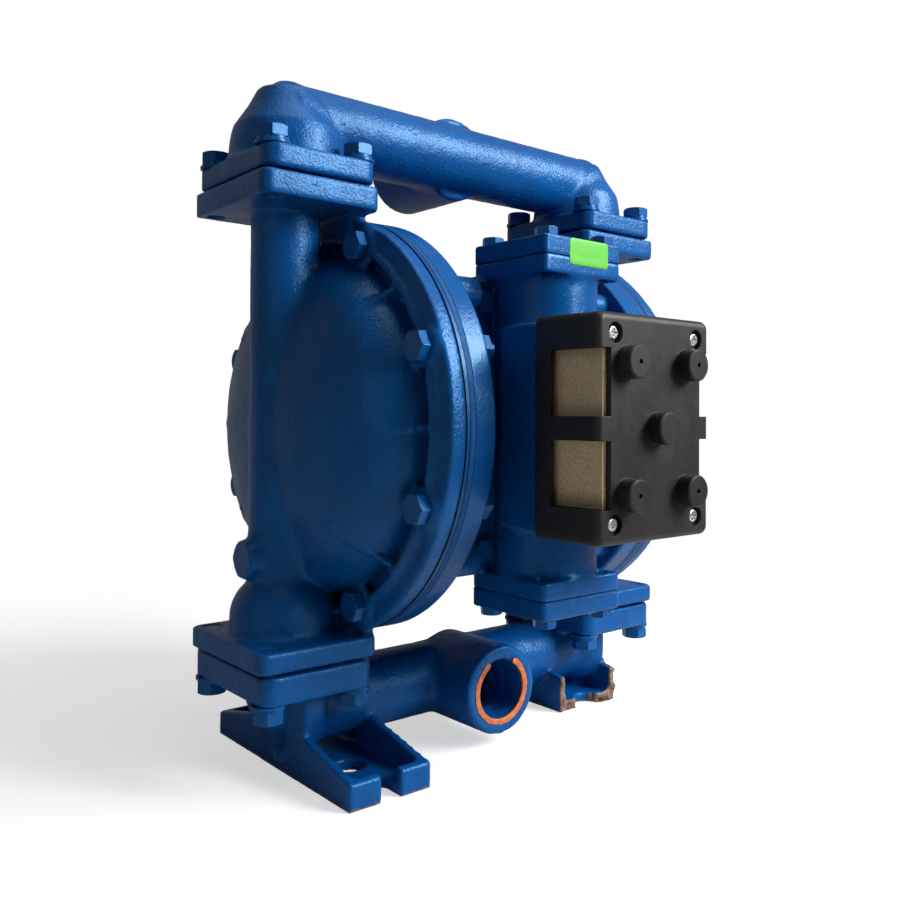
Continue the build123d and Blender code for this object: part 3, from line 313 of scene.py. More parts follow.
@dataclass(frozen=True)
class Plastic:
    """Matt moulding, with the fine spark texture of its mould and faint flow marks."""

    name: str
    colour: Colour
    roughness: float = 0.55
    grain: float = 0.00006
    edge: float = 0.0006
    sheen: float = 0.5
    painted_beyond: float = 0.0
    joints: tuple[float, ...] = (0.0955, 0.1, 0.103)

    def paint(self, shader: Shader, colour: Socket) -> Socket:
        """Cover the rim of a colour with the pump's enamel, with a thin dark line where each joint shows."""
        x = shader.maths("ABSOLUTE", shader.along("X"))
        y = shader.along("Y") - ROD_Y
        z = shader.along("Z") - ROD_Z
        radius = shader.maths("SQRT", y * y + z * z)
        gap: Value = 1.0
        for joint in self.joints:
            gap = shader.maths("MINIMUM", gap, shader.maths("ABSOLUTE", x - joint))
        rim = shader.mix(shader.noise(0.006, 4.0, 0.65), DEEP_BLUE, BLUE)
        lined = shader.mix(1.0 - shader.clamp(gap, 0.0003, 0.0007), rim, JOINT_LINE)
        painted = shader.clamp(radius, self.painted_beyond - 0.0004, self.painted_beyond)
        return shader.mix(painted, colour, lined)

    def make(self) -> bpy.types.Material:
        """Build the material."""
        shader = Shader(bpy.data.materials.new(self.name))
        rounded, turned = shader.edges(self.edge)
        flow = shader.clamp(shader.streaks(0.03, (1.0, 1.0, 0.35)), 0.35, 0.7)
        dust = shader.clamp(shader.noise(0.011, 5.0, 0.7), 0.45, 0.75)
        pale = tuple(min(1.0, part * 1.7 + 0.004) for part in self.colour[:3]) + (1.0,)
        # Paler where flow marks and dust lie, and painted lighter along the edges as a painted highlight.
        colour = shader.mix(flow * 0.35 + dust * 0.25 + turned * 0.3, self.colour, pale)
        if self.painted_beyond:
            colour = self.paint(shader, colour)
        height = shader.noise(0.0009, 3.0, 0.6) + shader.noise(0.02) * 1.5
        return shader.finish(
            Base_Color=colour,
            Roughness=dust * 0.12 + flow * 0.06 + (self.roughness - 0.08),
            Specular_IOR_Level=self.sheen,
            Specular_Tint=BLUE_GLARE if self.painted_beyond else PURE_WHITE,
            Normal=shader.bump(height, self.grain, rounded),
        )


@dataclass(frozen=True)
class Metal:
    """Bare or plated metal, with fine turning or plating marks, and a painted highlight along its edges."""

    name: str
    colour: Colour
    roughness: float
    marks: Sequence[float] = (1.0, 1.0, 1.0)
    depth: float = 0.00002
    edge: float = 0.0003

    def make(self) -> bpy.types.Material:
        """Build the material."""
        shader = Shader(bpy.data.materials.new(self.name))
        rounded, turned = shader.edges(self.edge)
        fine = shader.streaks(0.0007, self.marks)
        cloud = shader.clamp(shader.noise(0.009, 4.0, 0.6), 0.3, 0.75)
        dull = tuple(part * 0.72 for part in self.colour[:3]) + (1.0,)
        bright = tuple(min(1.0, part * 1.12) for part in self.colour[:3]) + (1.0,)
        # The colour is painted brighter along the edges as a painted highlight.
        colour = shader.mix(turned, shader.mix(cloud * 0.8, self.colour, dull), bright)
        return shader.finish(
            Base_Color=colour,
            Metallic=1.0,
            Roughness=cloud * 0.14 + fine * 0.1 + (self.roughness - 0.1),
            Normal=shader.bump(fine, self.depth, rounded),
        )


@dataclass(frozen=True)
class Felt:
    """Coarse tan filter felt: short tangled fibres with open pores, with painted shade in the pores and
    towards its top and bottom edges.
    """

    name: str

    def make(self) -> bpy.types.Material:
        """Build the material."""
        shader = Shader(bpy.data.materials.new(self.name))
        fibres = shader.noise(0.0011, 5.0, 0.75, 1.2)
        pores = 1.0 - shader.clamp(shader.cells(0.0017), 0.12, 0.42)
        z = shader.maths("ABSOLUTE", shader.along("Z") - ROD_Z)
        # Painted shade towards the felt's top and bottom edges, and in its pores.
        edge_shade = shader.clamp(z + shader.noise(0.01) * 0.006, 0.041, 0.052)
        tan = shader.mix(fibres, TAN, PALE_TAN)
        colour = shader.mix(pores * 0.35 + edge_shade * 0.3, tan, FELT_SHADE)
        height = fibres - pores * 0.7
        return shader.finish(Base_Color=colour, Roughness=0.95, Normal=shader.bump(height, 0.0005))


@dataclass(frozen=True)
class Film:
    """Bare lime-green label film, with a faint sheen and light scuffs."""

    name: str

    def make(self) -> bpy.types.Material:
        """Build the material."""
        shader = Shader(bpy.data.materials.new(self.name))
        cloud = shader.noise(0.007, 4.0, 0.6)
        scuffs = shader.clamp(shader.streaks(0.0016, (1.0, 1.0, 0.25)), 0.62, 0.72)
        lime = shader.mix(cloud * 0.5, LIME, DEEP_LIME)
        colour = shader.mix(scuffs * 0.25, lime, SCUFFED_LIME)
        height = cloud + scuffs * 0.3
        return shader.finish(
            Base_Color=colour,
            Roughness=cloud * 0.1 + 0.38,
            Specular_IOR_Level=0.25,
            Normal=shader.bump(height, 0.00008),
        )


@dataclass(frozen=True)
class Compound:
    """Copper-red thread compound, dry and crumbly."""

    name: str

    def make(self) -> bpy.types.Material:
        """Build the material."""
        shader = Shader(bpy.data.materials.new(self.name))
        crumbs = shader.noise(0.0016, 5.0, 0.7)
        patches = shader.clamp(shader.noise(0.005, 3.0), 0.35, 0.7)
        colour = shader.mix(patches, COPPER, DEEP_COPPER)
        pale = shader.mix(shader.clamp(crumbs, 0.55, 0.75) * 0.5, colour, PALE_COPPER)
        return shader.finish(Base_Color=pale, Roughness=0.62, Normal=shader.bump(crumbs, 0.0004))


ROUGH_CAST = Enamel("blue enamel on rough casting", grain=0.0006, foot_wear=True, chips=0.8)
FETTLED = Enamel("blue enamel on fettled casting", grain=0.00028, roughness=0.28, edge=0.0016, chips=0.6)
FETTLED_BODY = Enamel("blue enamel on the valve casting", grain=0.0003, roughness=0.28, chips=0.6)
SHADED = Enamel("blue enamel on the centre casting", grain=0.0004, edge=0.002, roughness=0.38)
BRUSHED = Enamel("blue enamel on steel", grain=0.00008, roughness=0.27, edge=0.0008, chips=0.5)
MOULDING = Plastic("brown-black moulding", (0.0105, 0.009, 0.0085, 1.0), 0.5, sheen=0.3)
RUBBER = Plastic("black rubber", (0.012, 0.012, 0.012, 1.0), 0.7, painted_beyond=0.1485)
WHITE = Plastic("white fluoroplastic", (0.78, 0.78, 0.75, 1.0), 0.4, painted_beyond=0.1485)
ZINC = Metal("bright zinc plate", (0.78, 0.79, 0.8, 1.0), 0.26)
STEEL = Metal("ground stainless steel", (0.6, 0.59, 0.58, 1.0), 0.3, (1.0, 1.0, 0.1))
BRONZE = Metal("turned bronze", (0.62, 0.4, 0.17, 1.0), 0.32, (0.1, 1.0, 1.0))
ANODISED = Metal("anodised aluminium", (0.66, 0.67, 0.69, 1.0), 0.36, (1.0, 1.0, 0.1))


# ---------------------------------------------------------------- mesh building
def object_of(name: str, mesh: bpy.types.Mesh, material: bpy.types.Material, body: str) -> bpy.types.Object:
    """Put a mesh in the scene as a piece that rides on a body.

    Args:
        name: the piece's name.
        mesh: its mesh, already in place.
        material: its finish.
        body: the CAD body that carries it.

    Returns:
        The piece.
    """
    mesh.materials.clear()
    mesh.materials.append(material)
    piece = bpy.data.objects.new(name, mesh)
    bpy.context.scene.collection.objects.link(piece)
    LOG.info("%s: %d faces", name, len(mesh.polygons))
    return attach(piece, body)


def shell(name: str, grid: np.ndarray, wrap_rows: bool) -> bpy.types.Mesh:
    """Close a grid of points into a shell.

    The columns always wrap round. The rows wrap too, or else the first and last rows are closed with a face.

    Args:
        name: the mesh's name.
        grid: points, rows by columns by 3, with the columns turning so that faces point outwards.
        wrap_rows: True where the last row meets the first.

    Returns:
        The mesh.
    """
    rows, columns = grid.shape[:2]
    index = np.arange(rows * columns).reshape(rows, columns)
    if wrap_rows:
        index = np.vstack([index, index[:1]])
    turned = np.roll(index, -1, axis=1)
    quads = np.stack([index[:-1], turned[:-1], turned[1:], index[1:]], axis=-1).reshape(-1, 4)
    faces = quads.tolist()
    if not wrap_rows:
        faces += [index[0, ::-1].tolist(), index[-1].tolist()]
    mesh = bpy.data.meshes.new(name)
    mesh.from_pydata(grid.reshape(-1, 3).tolist(), [], faces)
    mesh.polygons.foreach_set("use_smooth", np.ones(len(mesh.polygons), bool))
    mesh.update()
    return mesh


def merged_copy(node: str) -> bpy.types.Mesh:
    """A copy of a CAD node's mesh whose loose triangles are joined."""
    work = bmesh.new()
    work.from_mesh(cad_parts[node].data)
    bmesh.ops.remove_doubles(work, verts=work.verts, dist=1e-6)
    mesh = bpy.data.meshes.new(node)
    work.to_mesh(mesh)
    work.free()
    return mesh


def even_skin(mesh: bpy.types.Mesh, voxel: float) -> bpy.types.Mesh:
    """Cover a solid with an even skin of small quads.

    Args:
        mesh: a closed mesh.
        voxel: the quads' size in metres.

    Returns:
        The new mesh.
    """
    holder = bpy.data.objects.new("skin", mesh)
    bpy.context.scene.collection.objects.link(holder)
    remesh = holder.modifiers.new("skin", "REMESH")
    remesh.mode, remesh.voxel_size, remesh.adaptivity = "VOXEL", voxel, 0.0
    bpy.context.view_layer.update()
    ready = holder.evaluated_get(bpy.context.evaluated_depsgraph_get())
    skin = bpy.data.meshes.new_from_object(ready)
    bpy.data.objects.remove(holder)
    return skin


def read_vectors(items: bpy.types.bpy_prop_collection, key: str) -> np.ndarray:
    """One vector of each of a mesh's points, as an array."""
    values = np.zeros(len(items) * 3)
    items.foreach_get(key, values)
    return values.reshape(-1, 3)


def waviness(points: np.ndarray, size: float, seed: int) -> np.ndarray:
    """Smooth heights between -1 and 1: the sum of five sine waves whose directions come from the seed.

    Args:
        points: where it is wanted, in metres.
        size: the waves' length in metres.
        seed: picks the directions.

    Returns:
        One height per point.
    """
    chance = np.random.default_rng(seed)
    directions = chance.normal(size=(5, 3))
    length = np.linalg.norm(directions, axis=1)[:, None]
    directions *= (2 * math.pi / size) * chance.uniform(0.7, 1.4, (5, 1)) / length
    return np.sin(points @ directions.T + chance.uniform(0, 2 * math.pi, 5)).mean(axis=1)


def ramp(values: np.ndarray, start: float, width: float) -> np.ndarray:
    """Rise from 0 at a start to 1 a width further on, in a straight line."""
    return np.clip((values - start) / width, 0, 1)


def bell(values: np.ndarray, middle: float, width: float) -> np.ndarray:
    """A smooth bump that is 1 at its middle and falls off within about a width."""
    return np.exp(-(((values - middle) / width) ** 2))


def from_rod(points: np.ndarray) -> tuple[np.ndarray, np.ndarray, np.ndarray]:
    """How far points lie outwards from the pump's middle, and their Y and Z measured from the rod's axis."""
    return np.abs(points[:, 0]), points[:, 1] - ROD_Y, points[:, 2] - ROD_Z


def relax(
    mesh: bpy.types.Mesh, points: np.ndarray, rounds: int, share: np.ndarray, hollow_only: bool
) -> np.ndarray:
    """Round a skin's corners by moving each point part of the way to the middle of its neighbours.

    Args:
        mesh: the skin, for its edges and normals.
        points: its points.
        rounds: how many times.
        share: how far each point may move towards that middle, 0 to 0.5.
        hollow_only: True to fill hollow corners, as a casting's fillets do, and leave the others.

    Returns:
        The moved points.
    """
    edges = np.zeros(len(mesh.edges) * 2, np.int64)
    mesh.edges.foreach_get("vertices", edges)
    first, second = edges.reshape(-1, 2).T
    count = np.bincount(edges, minlength=len(points))[:, None]
    normals = read_vectors(mesh.vertex_normals, "vector")
    for _ in range(rounds):
        total = np.stack(
            [
                np.bincount(first, points[second, axis], len(points))
                + np.bincount(second, points[first, axis], len(points))
                for axis in range(3)
            ],
            axis=1,
        )
        step = (total / count - points) * share[:, None]
        if hollow_only:
            outward = (step * normals).sum(axis=1, keepdims=True)
            step = normals * np.maximum(outward, 0)
        points = points + step
    return points


# ---------------------------------------------------------------- castings
@dataclass
class Casting:
    """A sand casting: an even skin over its CAD solid, with soft corners, cast fillets and a wavy surface.

    Inside its bores and cavities the skin keeps the solid's size.
    """

    node: str
    voxel: float = 0.002
    fillet_rounds: int = 26
    corner_rounds: int = 1
    waves: float = 0.00022

    def bored(self, points: np.ndarray) -> np.ndarray:
        """Where a machined inside surface is: True keeps the solid's size."""
        return np.zeros(len(points), bool)

    def softness(self, points: np.ndarray) -> np.ndarray:
        """How readily a hollow corner fills, 0 to 1: less where ribs, rims and bosses stand close."""
        return np.ones(len(points))

    def carve(self, points: np.ndarray, normals: np.ndarray) -> np.ndarray:
        """Last touches that belong to one casting."""
        return points

    def build(self, material: bpy.types.Material) -> bpy.types.Object:
        """Make the casting's piece.

        Args:
            material: its finish.

        Returns:
            The piece, which stands for the CAD node.
        """
        skin = even_skin(merged_copy(self.node), self.voxel)
        points = read_vectors(skin.vertices, "co")
        low, high = points.min(axis=0), points.max(axis=0)
        free = np.where(self.bored(points), 0.0, 1.0)
        filled = relax(skin, points, self.fillet_rounds, 0.5 * free * self.softness(points), True)
        smooth = relax(skin, filled, self.corner_rounds, 0.5 * free, False)
        normals = read_vectors(skin.vertex_normals, "vector")
        swell = waviness(points, 0.02, 3) * 0.6 + waviness(points, 0.009, 5) * 0.4
        waved = smooth + normals * (swell * self.waves * free)[:, None]
        shaped = np.clip(self.carve(waved, normals), low, high)
        skin.vertices.foreach_set("co", shaped.ravel())
        skin.polygons.foreach_set("use_smooth", np.ones(len(skin.polygons), bool))
        skin.update()
        piece = object_of(self.node + "_casting", skin, material, "pump")
        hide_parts(self.node)
        return piece


@dataclass
class OuterChamberCasting(Casting):
    """Dished outer chamber with its valve column, pads, ribs and bolt bosses."""

    column_bore: float = 0.0208
    cage_reach: float = 0.0328
    cage_top: float = 0.131
    top: float = 0.4045
    joint_face: float = 0.1035
    crown_centre: float = -0.076
    crown_radius: float = 0.239
    crown_reach: float = 0.0934
    slope_reach: float = 0.1175
    slope_depths: tuple[float, float] = (0.1438, 0.109)
    cavity_reach: float = 0.1165
    bolt_turn: float = math.pi / 4
    bolt_circle: float = 0.1335
    bolt_seat: float = 0.0118
    boss_radius: float = 0.015
    clear_of_boss: float = 0.019
    rib_start: float = 0.086
    rim_depth: float = 0.125
    rim_blend: float = 0.014
    flange_softness: float = 0.08
    dome_softness: float = 0.7
    column_half_width: float = 0.037
    flange_back: float = 0.106
    rib_top: float = 0.088
    rib_rise: float = 0.003
    rib_half_width: float = 0.0032
    clear_of_rib: float = 0.012
    rings: int = 26
    bead_radius: float = 0.1338
    bead_height: float = 0.0016
    bead_half_width: float = 0.0024
    pad_underside: float = 0.396
    pad_drop: float = 0.0022
    pad_blend: float = 0.0045

    def bolt_distance(self, y: np.ndarray, z: np.ndarray) -> np.ndarray:
        """How far points, measured from the rod's axis, are from the nearest chamber bolt's axis."""
        nearest = (np.floor(np.arctan2(z, y) / self.bolt_turn) + 0.5) * self.bolt_turn
        return np.hypot(y - self.bolt_circle * np.cos(nearest), z - self.bolt_circle * np.sin(nearest))

    def bored(self, points: np.ndarray) -> np.ndarray:
        """The column's bore, the ball's cage, the seat's recess, the liquid cavity and the bolt holes."""
        x, y, z = from_rod(points)
        height = points[:, 2]
        in_cage = (height < self.cage_top) | (height > self.top)
        bore = np.hypot(x - COLUMN_X, y) < np.where(in_cage, self.cage_reach, self.column_bore)
        radius = np.hypot(y, z)
        crown = self.crown_centre + np.sqrt(np.maximum(self.crown_radius**2 - radius**2, 0))
        slope = np.interp(radius, [self.crown_reach, self.slope_reach], self.slope_depths)
        depth = np.where(radius < self.crown_reach, crown, slope)
        cavity = (x < depth) & (radius < self.cavity_reach)
        seats = (self.bolt_distance(y, z) < self.bolt_seat) & (x < self.rim_depth)
        return bore | cavity | seats | (x < self.joint_face)

    def softness(self, points: np.ndarray) -> np.ndarray:
        """Small fillets on the flange, its rim and ribs, and broad ones on the dome, column and pads."""
        x, y, z = from_rod(points)
        gain = (self.dome_softness - self.flange_softness) * ramp(x, self.rim_depth, self.rim_blend)
        return np.where(np.hypot(y, z) > self.rib_start, self.flange_softness + gain, self.dome_softness)

    def carve(self, points: np.ndarray, normals: np.ndarray) -> np.ndarray:
        """Raise the ribs and the bead that joins their ends, and lower the top pad's underside a little.

        The level of the plain surface between ribs and bolts is found ring by ring. A rib's top climbs
        slowly above it and bridges the groove to the bead. Across its width, each fades as a bell curve.
        """
        side = np.sign(points[:, 0])
        x, y, z = from_rod(points)
        radius, bolt = np.hypot(y, z), self.bolt_distance(y, z)
        angle = np.arctan2(z, y)
        across = (angle - np.round(angle / self.bolt_turn) * self.bolt_turn) * radius
        facing = normals[:, 0] * side
        outside = (facing > -0.3) & (np.abs(y) > self.column_half_width) & (x > self.flange_back)
        clear = (np.abs(across) > self.clear_of_rib) & (bolt > self.clear_of_boss)
        plain = outside & clear & (facing > 0.3)
        rings = np.linspace(self.rib_top, self.bead_radius, self.rings)
        level = np.array([np.median(x[plain & (np.abs(radius - ring) < 0.002)]) for ring in rings])
        growth = (rings - self.rib_top) / (self.bead_radius - self.rib_top)
        crest = np.maximum(level + self.rib_rise * growth, level[-1] + self.bead_height)
        wanted = np.interp(radius, rings, crest)
        on_rib = outside & (radius > self.rib_top) & (radius < self.bead_radius + 0.001)
        ridge = on_rib * bell(across, 0.0, self.rib_half_width) * np.maximum(wanted - x, 0)
        on_shoulder = outside & (np.abs(x - level[-1]) < 0.003)
        bead = on_shoulder * bell(radius, self.bead_radius, self.bead_half_width)
        bead = bead * self.bead_height * ramp(bolt, self.boss_radius, 0.004)
        moved = points.copy()
        moved[:, 0] += side * np.maximum(ridge, bead)
        moved[:, 2] -= self.pad_drop * bell(points[:, 2], self.pad_underside, self.pad_blend)
        return moved


@dataclass
class PipeManifold(Casting):
    """Pipe between the two columns' pads, with a threaded port in its middle."""

    pipe_height: float = SUCTION_PIPE_Z
    bore: float = 0.0235
    port_bore: float = 0.0285
    well: float = 0.033
    well_depth: float = 0.0045
    throat: float = 0.0255
    joint: float = 0.081
    bolt_x: float = 0.0325
    bolt_y: float = 0.043
    bolt_seat: float = 0.0125

    def bored(self, points: np.ndarray) -> np.ndarray:
        """The pipe's bore, the port's bore and thread, the wells, the bolt holes and the joint's face."""
        x, y, z = points[:, 0], points[:, 1] - ROD_Y, points[:, 2]
        out, above = np.abs(x) - COLUMN_X, z - self.pipe_height
        pipe = (np.hypot(y, above) < self.bore) & (out < 0)
        port = np.hypot(x, above) < self.port_bore
        bolts = np.hypot(np.abs(out) - self.bolt_x, np.abs(y) - self.bolt_y) < self.bolt_seat
        well = np.hypot(out, y) < self.well_reach(z)
        return pipe | port | bolts | well | (np.abs(z - self.joint) < 0.0006)

    def well_reach(self, z: np.ndarray) -> np.ndarray:
        """How far from a column's axis the hollow under its seat reaches."""
        return np.where(z > self.joint - self.well_depth, self.well, self.throat)


@dataclass
class SuctionManifold(PipeManifold):
    """The lower manifold, with its feet; the right foot's front end is broken off."""

    pipe_radius: float = 0.0276
    boss_half_width: float = 0.0345
    elbow_heights: tuple[float, ...] = (0.015, 0.025, 0.034, 0.048, 0.0585, 0.0615)
    elbow_reaches: tuple[float, ...] = (0.004, 0.01, 0.019, 0.024, 0.0275, 0.031)
    elbow_limit: float = 0.04
    foot_inside: float = 0.085
    foot_middle: float = 0.11975
    foot_half_width: float = 0.03175
    foot_outside: float = 0.0032
    foot_height: float = 0.0335
    foot_top: float = 0.036
    break_y: float = -0.00625
    break_reach: float = 0.004
    break_top: float = 0.034
    arch_rise: float = 0.004
    arch_top: float = 0.0085

    def softness(self, points: np.ndarray) -> np.ndarray:
        """Smaller fillets between a foot and the elbow above it."""
        near_foot = (np.abs(points[:, 0]) > self.foot_inside) & (points[:, 2] < self.foot_top)
        return np.where(near_foot, 0.25, 0.8)

    def carve(self, points: np.ndarray, normals: np.ndarray) -> np.ndarray:
        """Make the break ragged, end the port's boss at the pipe's middle and slim the elbows."""
        moved = points.copy()
        moved[:, 1] += self.ragged(points, normals)
        self.end_boss(points, moved)
        self.slim_elbows(points, moved)
        return moved

    def ragged(self, points: np.ndarray, normals: np.ndarray) -> np.ndarray:
        """How far the break's points move along Y: coarse and fine waves, and a low arch at the bottom."""
        x, y, z = points.T
        near = bell(y, self.break_y, self.break_reach)
        on_foot = near * (x > self.foot_inside) * (z < self.break_top) * (normals[:, 1] < -0.2)
        waves = waviness(points * (1, 0, 1), 0.013, 11) * 0.0035 + waviness(points, 0.0045, 12) * 0.0011
        across = (x - self.foot_middle) / self.foot_half_width
        arch = self.arch_rise * np.cos(across * math.pi / 2) * (z < self.arch_top)
        return on_foot * (waves + arch)

    def end_boss(self, points: np.ndarray, moved: np.ndarray) -> None:
        """Behind the pipe's middle, draw in what stands out past the pipe to the pipe's surface."""
        axis = np.array([ROD_Y, self.pipe_height])
        reach = np.maximum(np.hypot(*(points[:, 1:] - axis).T), self.pipe_radius)
        past = ramp(points[:, 1] - ROD_Y, 0.003, 0.004) * (np.abs(points[:, 0]) < self.boss_half_width)
        shrink = 1 - past * (1 - np.minimum(self.pipe_radius / reach, 1))
        moved[:, 1:] = axis + (moved[:, 1:] - axis) * shrink[:, None]

    def slim_elbows(self, points: np.ndarray, moved: np.ndarray) -> None:
        """Draw the outer half of each elbow in towards the column's axis, as a bent pipe is."""
        out, y, z = np.abs(points[:, 0]) - COLUMN_X, points[:, 1] - ROD_Y, points[:, 2]
        around = np.maximum(np.hypot(out, y), 1e-6)
        bend = np.interp(z, self.elbow_heights, self.elbow_reaches)
        past_foot = np.maximum(ramp(z, self.foot_height, 0.003), ramp(out, self.foot_outside, 0.002))
        share = ramp(out, 0.0, 0.006) * past_foot
        share = share * (around < self.elbow_limit) * (z < self.elbow_heights[-1])
        slim = 1 - share * (1 - np.minimum(bend / around, 1))
        on_elbow = slim < 1
        moved[on_elbow, 0] = (np.sign(points[:, 0]) * (COLUMN_X + out * slim))[on_elbow]
        moved[on_elbow, 1] = (ROD_Y + y * slim)[on_elbow]


@dataclass
class DischargeManifold(PipeManifold):
    """The upper manifold, over round housings for the discharge balls."""

    wall: float = 0.0026
    pipe_radius: float = 0.0285
    well_heights: tuple[float, ...] = (0.446, 0.479, 0.4795)
    well_reaches: tuple[float, ...] = (0.0345, 0.0175, 0.0)
    housing_foot: float = 0.4385
    housing_reach: float = 0.0425
    dome_heights: tuple[float, ...] = (0.4404, 0.4491, 0.4668, 0.4784, 0.4854)
    dome_reaches: tuple[float, ...] = (0.0399, 0.0378, 0.0262, 0.0168, 0.0074)

    def well_reach(self, z: np.ndarray) -> np.ndarray:
        """The ball's housing: straight below its shoulder, and narrower towards its ceiling."""
        return np.interp(z, self.well_heights, self.well_reaches)

    def carve(self, points: np.ndarray, normals: np.ndarray) -> np.ndarray:
        """Slim each housing's shoulder to a rounder dome, never thinner than its wall, clear of the pipe."""
        x, y, z = points[:, 0], points[:, 1] - ROD_Y, points[:, 2]
        out, well = np.abs(x) - COLUMN_X, self.well_reach(z)
        reach = np.hypot(out, y)
        wanted = np.maximum(np.interp(z, self.dome_heights, self.dome_reaches), well + self.wall)
        off_pipe = ramp(np.hypot(y, z - self.pipe_height), self.pipe_radius, 0.004)
        share = np.maximum(off_pipe, ramp(out, 0.0, 0.006)) * ramp(z, self.housing_foot, 0.002)
        share = share * (reach < self.housing_reach) * (reach > well)
        shrink = 1 - share * (1 - np.minimum(wanted / np.maximum(reach, 1e-6), 1))
        moved = points.copy()
        moved[:, 0] = np.sign(x) * (COLUMN_X + out * shrink)
        moved[:, 1] = ROD_Y + y * shrink
        return moved


@dataclass
class ValveBodyCasting(Casting):
    """The air valve's body, between its two square flanges."""

    axis_y: float = -0.07525
    bore: float = 0.0235
    window_half_width: float = 0.0195
    window_half_height: float = 0.0315
    back_face: float = -0.0385
    front_face: float = -0.1212
    flange_face: float = 0.1165
    cap_bolt_spot: float = 0.0275
    cap_bolt_reach: float = 0.0062
    screw_spot: tuple[float, float] = (0.0395, 0.088)
    screw_reach: float = 0.0105
    pilot_spot: tuple[float, float] = (0.04, 0.0587)
    pilot_reach: float = 0.0042

    def bored(self, points: np.ndarray) -> np.ndarray:
        """The sleeve's bore, the exhaust window, the back and front joint faces and the flanges' faces."""
        x, y, z = np.abs(points[:, 0]), points[:, 1], np.abs(points[:, 2] - ROD_Z)
        depth = y - self.axis_y
        bore = np.hypot(x, depth) < self.bore
        window = (x < self.window_half_width) & (z < self.window_half_height) & (depth < 0)
        faces = (y > self.back_face) | (y < self.front_face) | (z > self.flange_face)
        bolts = np.hypot(x - self.cap_bolt_spot, np.abs(depth) - self.cap_bolt_spot) < self.cap_bolt_reach
        screws = np.hypot(x - self.screw_spot[0], z - self.screw_spot[1]) < self.screw_reach
        pilots = np.hypot(x - self.pilot_spot[0], z - self.pilot_spot[1]) < self.pilot_reach
        return bore | window | faces | bolts | screws | pilots


# ---------------------------------------------------------------- small pieces
@dataclass
class PortCompound:
    """The ring of dried thread compound in the chamfer of the suction port, with a gap at its top."""

    start: float = 118.0
    sweep: float = 304.0
    steps: int = 241
    taper: float = 0.1
    inner: float = 0.0214
    outer: float = 0.0262
    chamfer_edge: float = 0.0264
    port_y: float = -0.02875
    depth: float = 0.0024
    proud: float = 0.0002

    def build(self, material: bpy.types.Material) -> bpy.types.Object:
        """Carry a wedge along an arc and let its edges wander.

        The wedge's front is nearly flat and swells a little between its edges. Its back lies on the chamfer's
        cone. Both edges wander with the angle, and the wedge narrows towards the two ends of the arc.

        Args:
            material: its finish.

        Returns:
            The piece.
        """
        turn = np.radians(self.start + np.linspace(0, self.sweep, self.steps))[:, None]
        ends = np.clip(np.minimum(turn - turn[0], turn[-1] - turn) / self.taper, 0.03, 1) ** 0.5
        wander = 0.00016 * np.sin(turn * 9 + 1) + 0.0001 * np.sin(turn * 23) + 0.00009 * np.sin(turn * 41 + 2)
        middle = (self.inner + self.outer) / 2 + wander * 0.4
        half = ((self.outer - self.inner) / 2 - 0.0002 + wander * 0.5) * ends
        across = np.linspace(-1, 1, 10)[None, :]
        front_radius, back_radius = middle + across * half, middle + across[:, ::-1] * half
        front = self.port_y - self.proud * (1 - across**4) + 0 * turn
        cone = self.depth * (self.chamfer_edge - back_radius) / (self.chamfer_edge - self.inner)
        back = self.port_y + np.maximum(cone, 0.0002)
        radius, y = np.hstack([front_radius, back_radius]), np.hstack([front, back])
        grid = np.stack([radius * np.cos(turn), y, SUCTION_PIPE_Z + radius * np.sin(turn)], axis=-1)
        return object_of("port_compound", shell("port_compound", grid, False), material, "pump")


@dataclass
class LabelFilm:
    """The bare label, stuck over the joint of the top end cap."""

    width: float = 0.039
    height: float = 0.0184
    corner: float = 0.003
    middle: tuple[float, float, float] = (0.0045, -0.11275, 0.3627)
    thickness: float = 0.00045
    joint_height: float = 0.3599
    dip: float = 0.00016
    dip_half_width: float = 0.0009

    def build(self, material: bpy.types.Material) -> bpy.types.Object:
        """Make rings of points from the label's middle to its rounded outline, in front and behind.

        A point of the outline at angle a is a rounded rectangle's: the corner's arc added to the inner
        rectangle's nearest corner. The front swells a little between the edges and dips along the joint.

        Args:
            material: its finish.

        Returns:
            The piece, which stands for the CAD label.
        """
        angle = np.linspace(0, 2 * math.pi, 96, endpoint=False)
        arc = np.stack([np.cos(angle), np.sin(angle)], axis=-1)
        inner = np.array([self.width / 2 - self.corner, self.height / 2 - self.corner])
        outline = np.sign(arc) * inner * (np.abs(arc) > 1e-9) + arc * self.corner
        share = np.array([0.02, 0.2, 0.4, 0.6, 0.75, 0.88, 0.96, 1.0])
        front = outline[None] * share[:, None, None]
        swell = self.thickness * np.sqrt(np.clip(1.02 - share**8, 0, 1))[:, None]
        x = self.middle[0] + front[..., 0]
        z = self.middle[2] + front[..., 1]
        y = self.middle[1] - swell + self.dip * bell(z, self.joint_height, self.dip_half_width)
        top = np.stack([x, y, z], axis=-1)
        back = top[::-1].copy()
        back[..., 1] = self.middle[1]
        grid = np.concatenate([top, back])[:, ::-1]
        piece = object_of("label_film", shell("label_film", grid, False), material, "pump")
        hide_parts("label")
        return piece


def both(*names: str) -> list[str]:
    """The left and right pieces of these names."""
    return [side.value + name for name in names for side in Side]


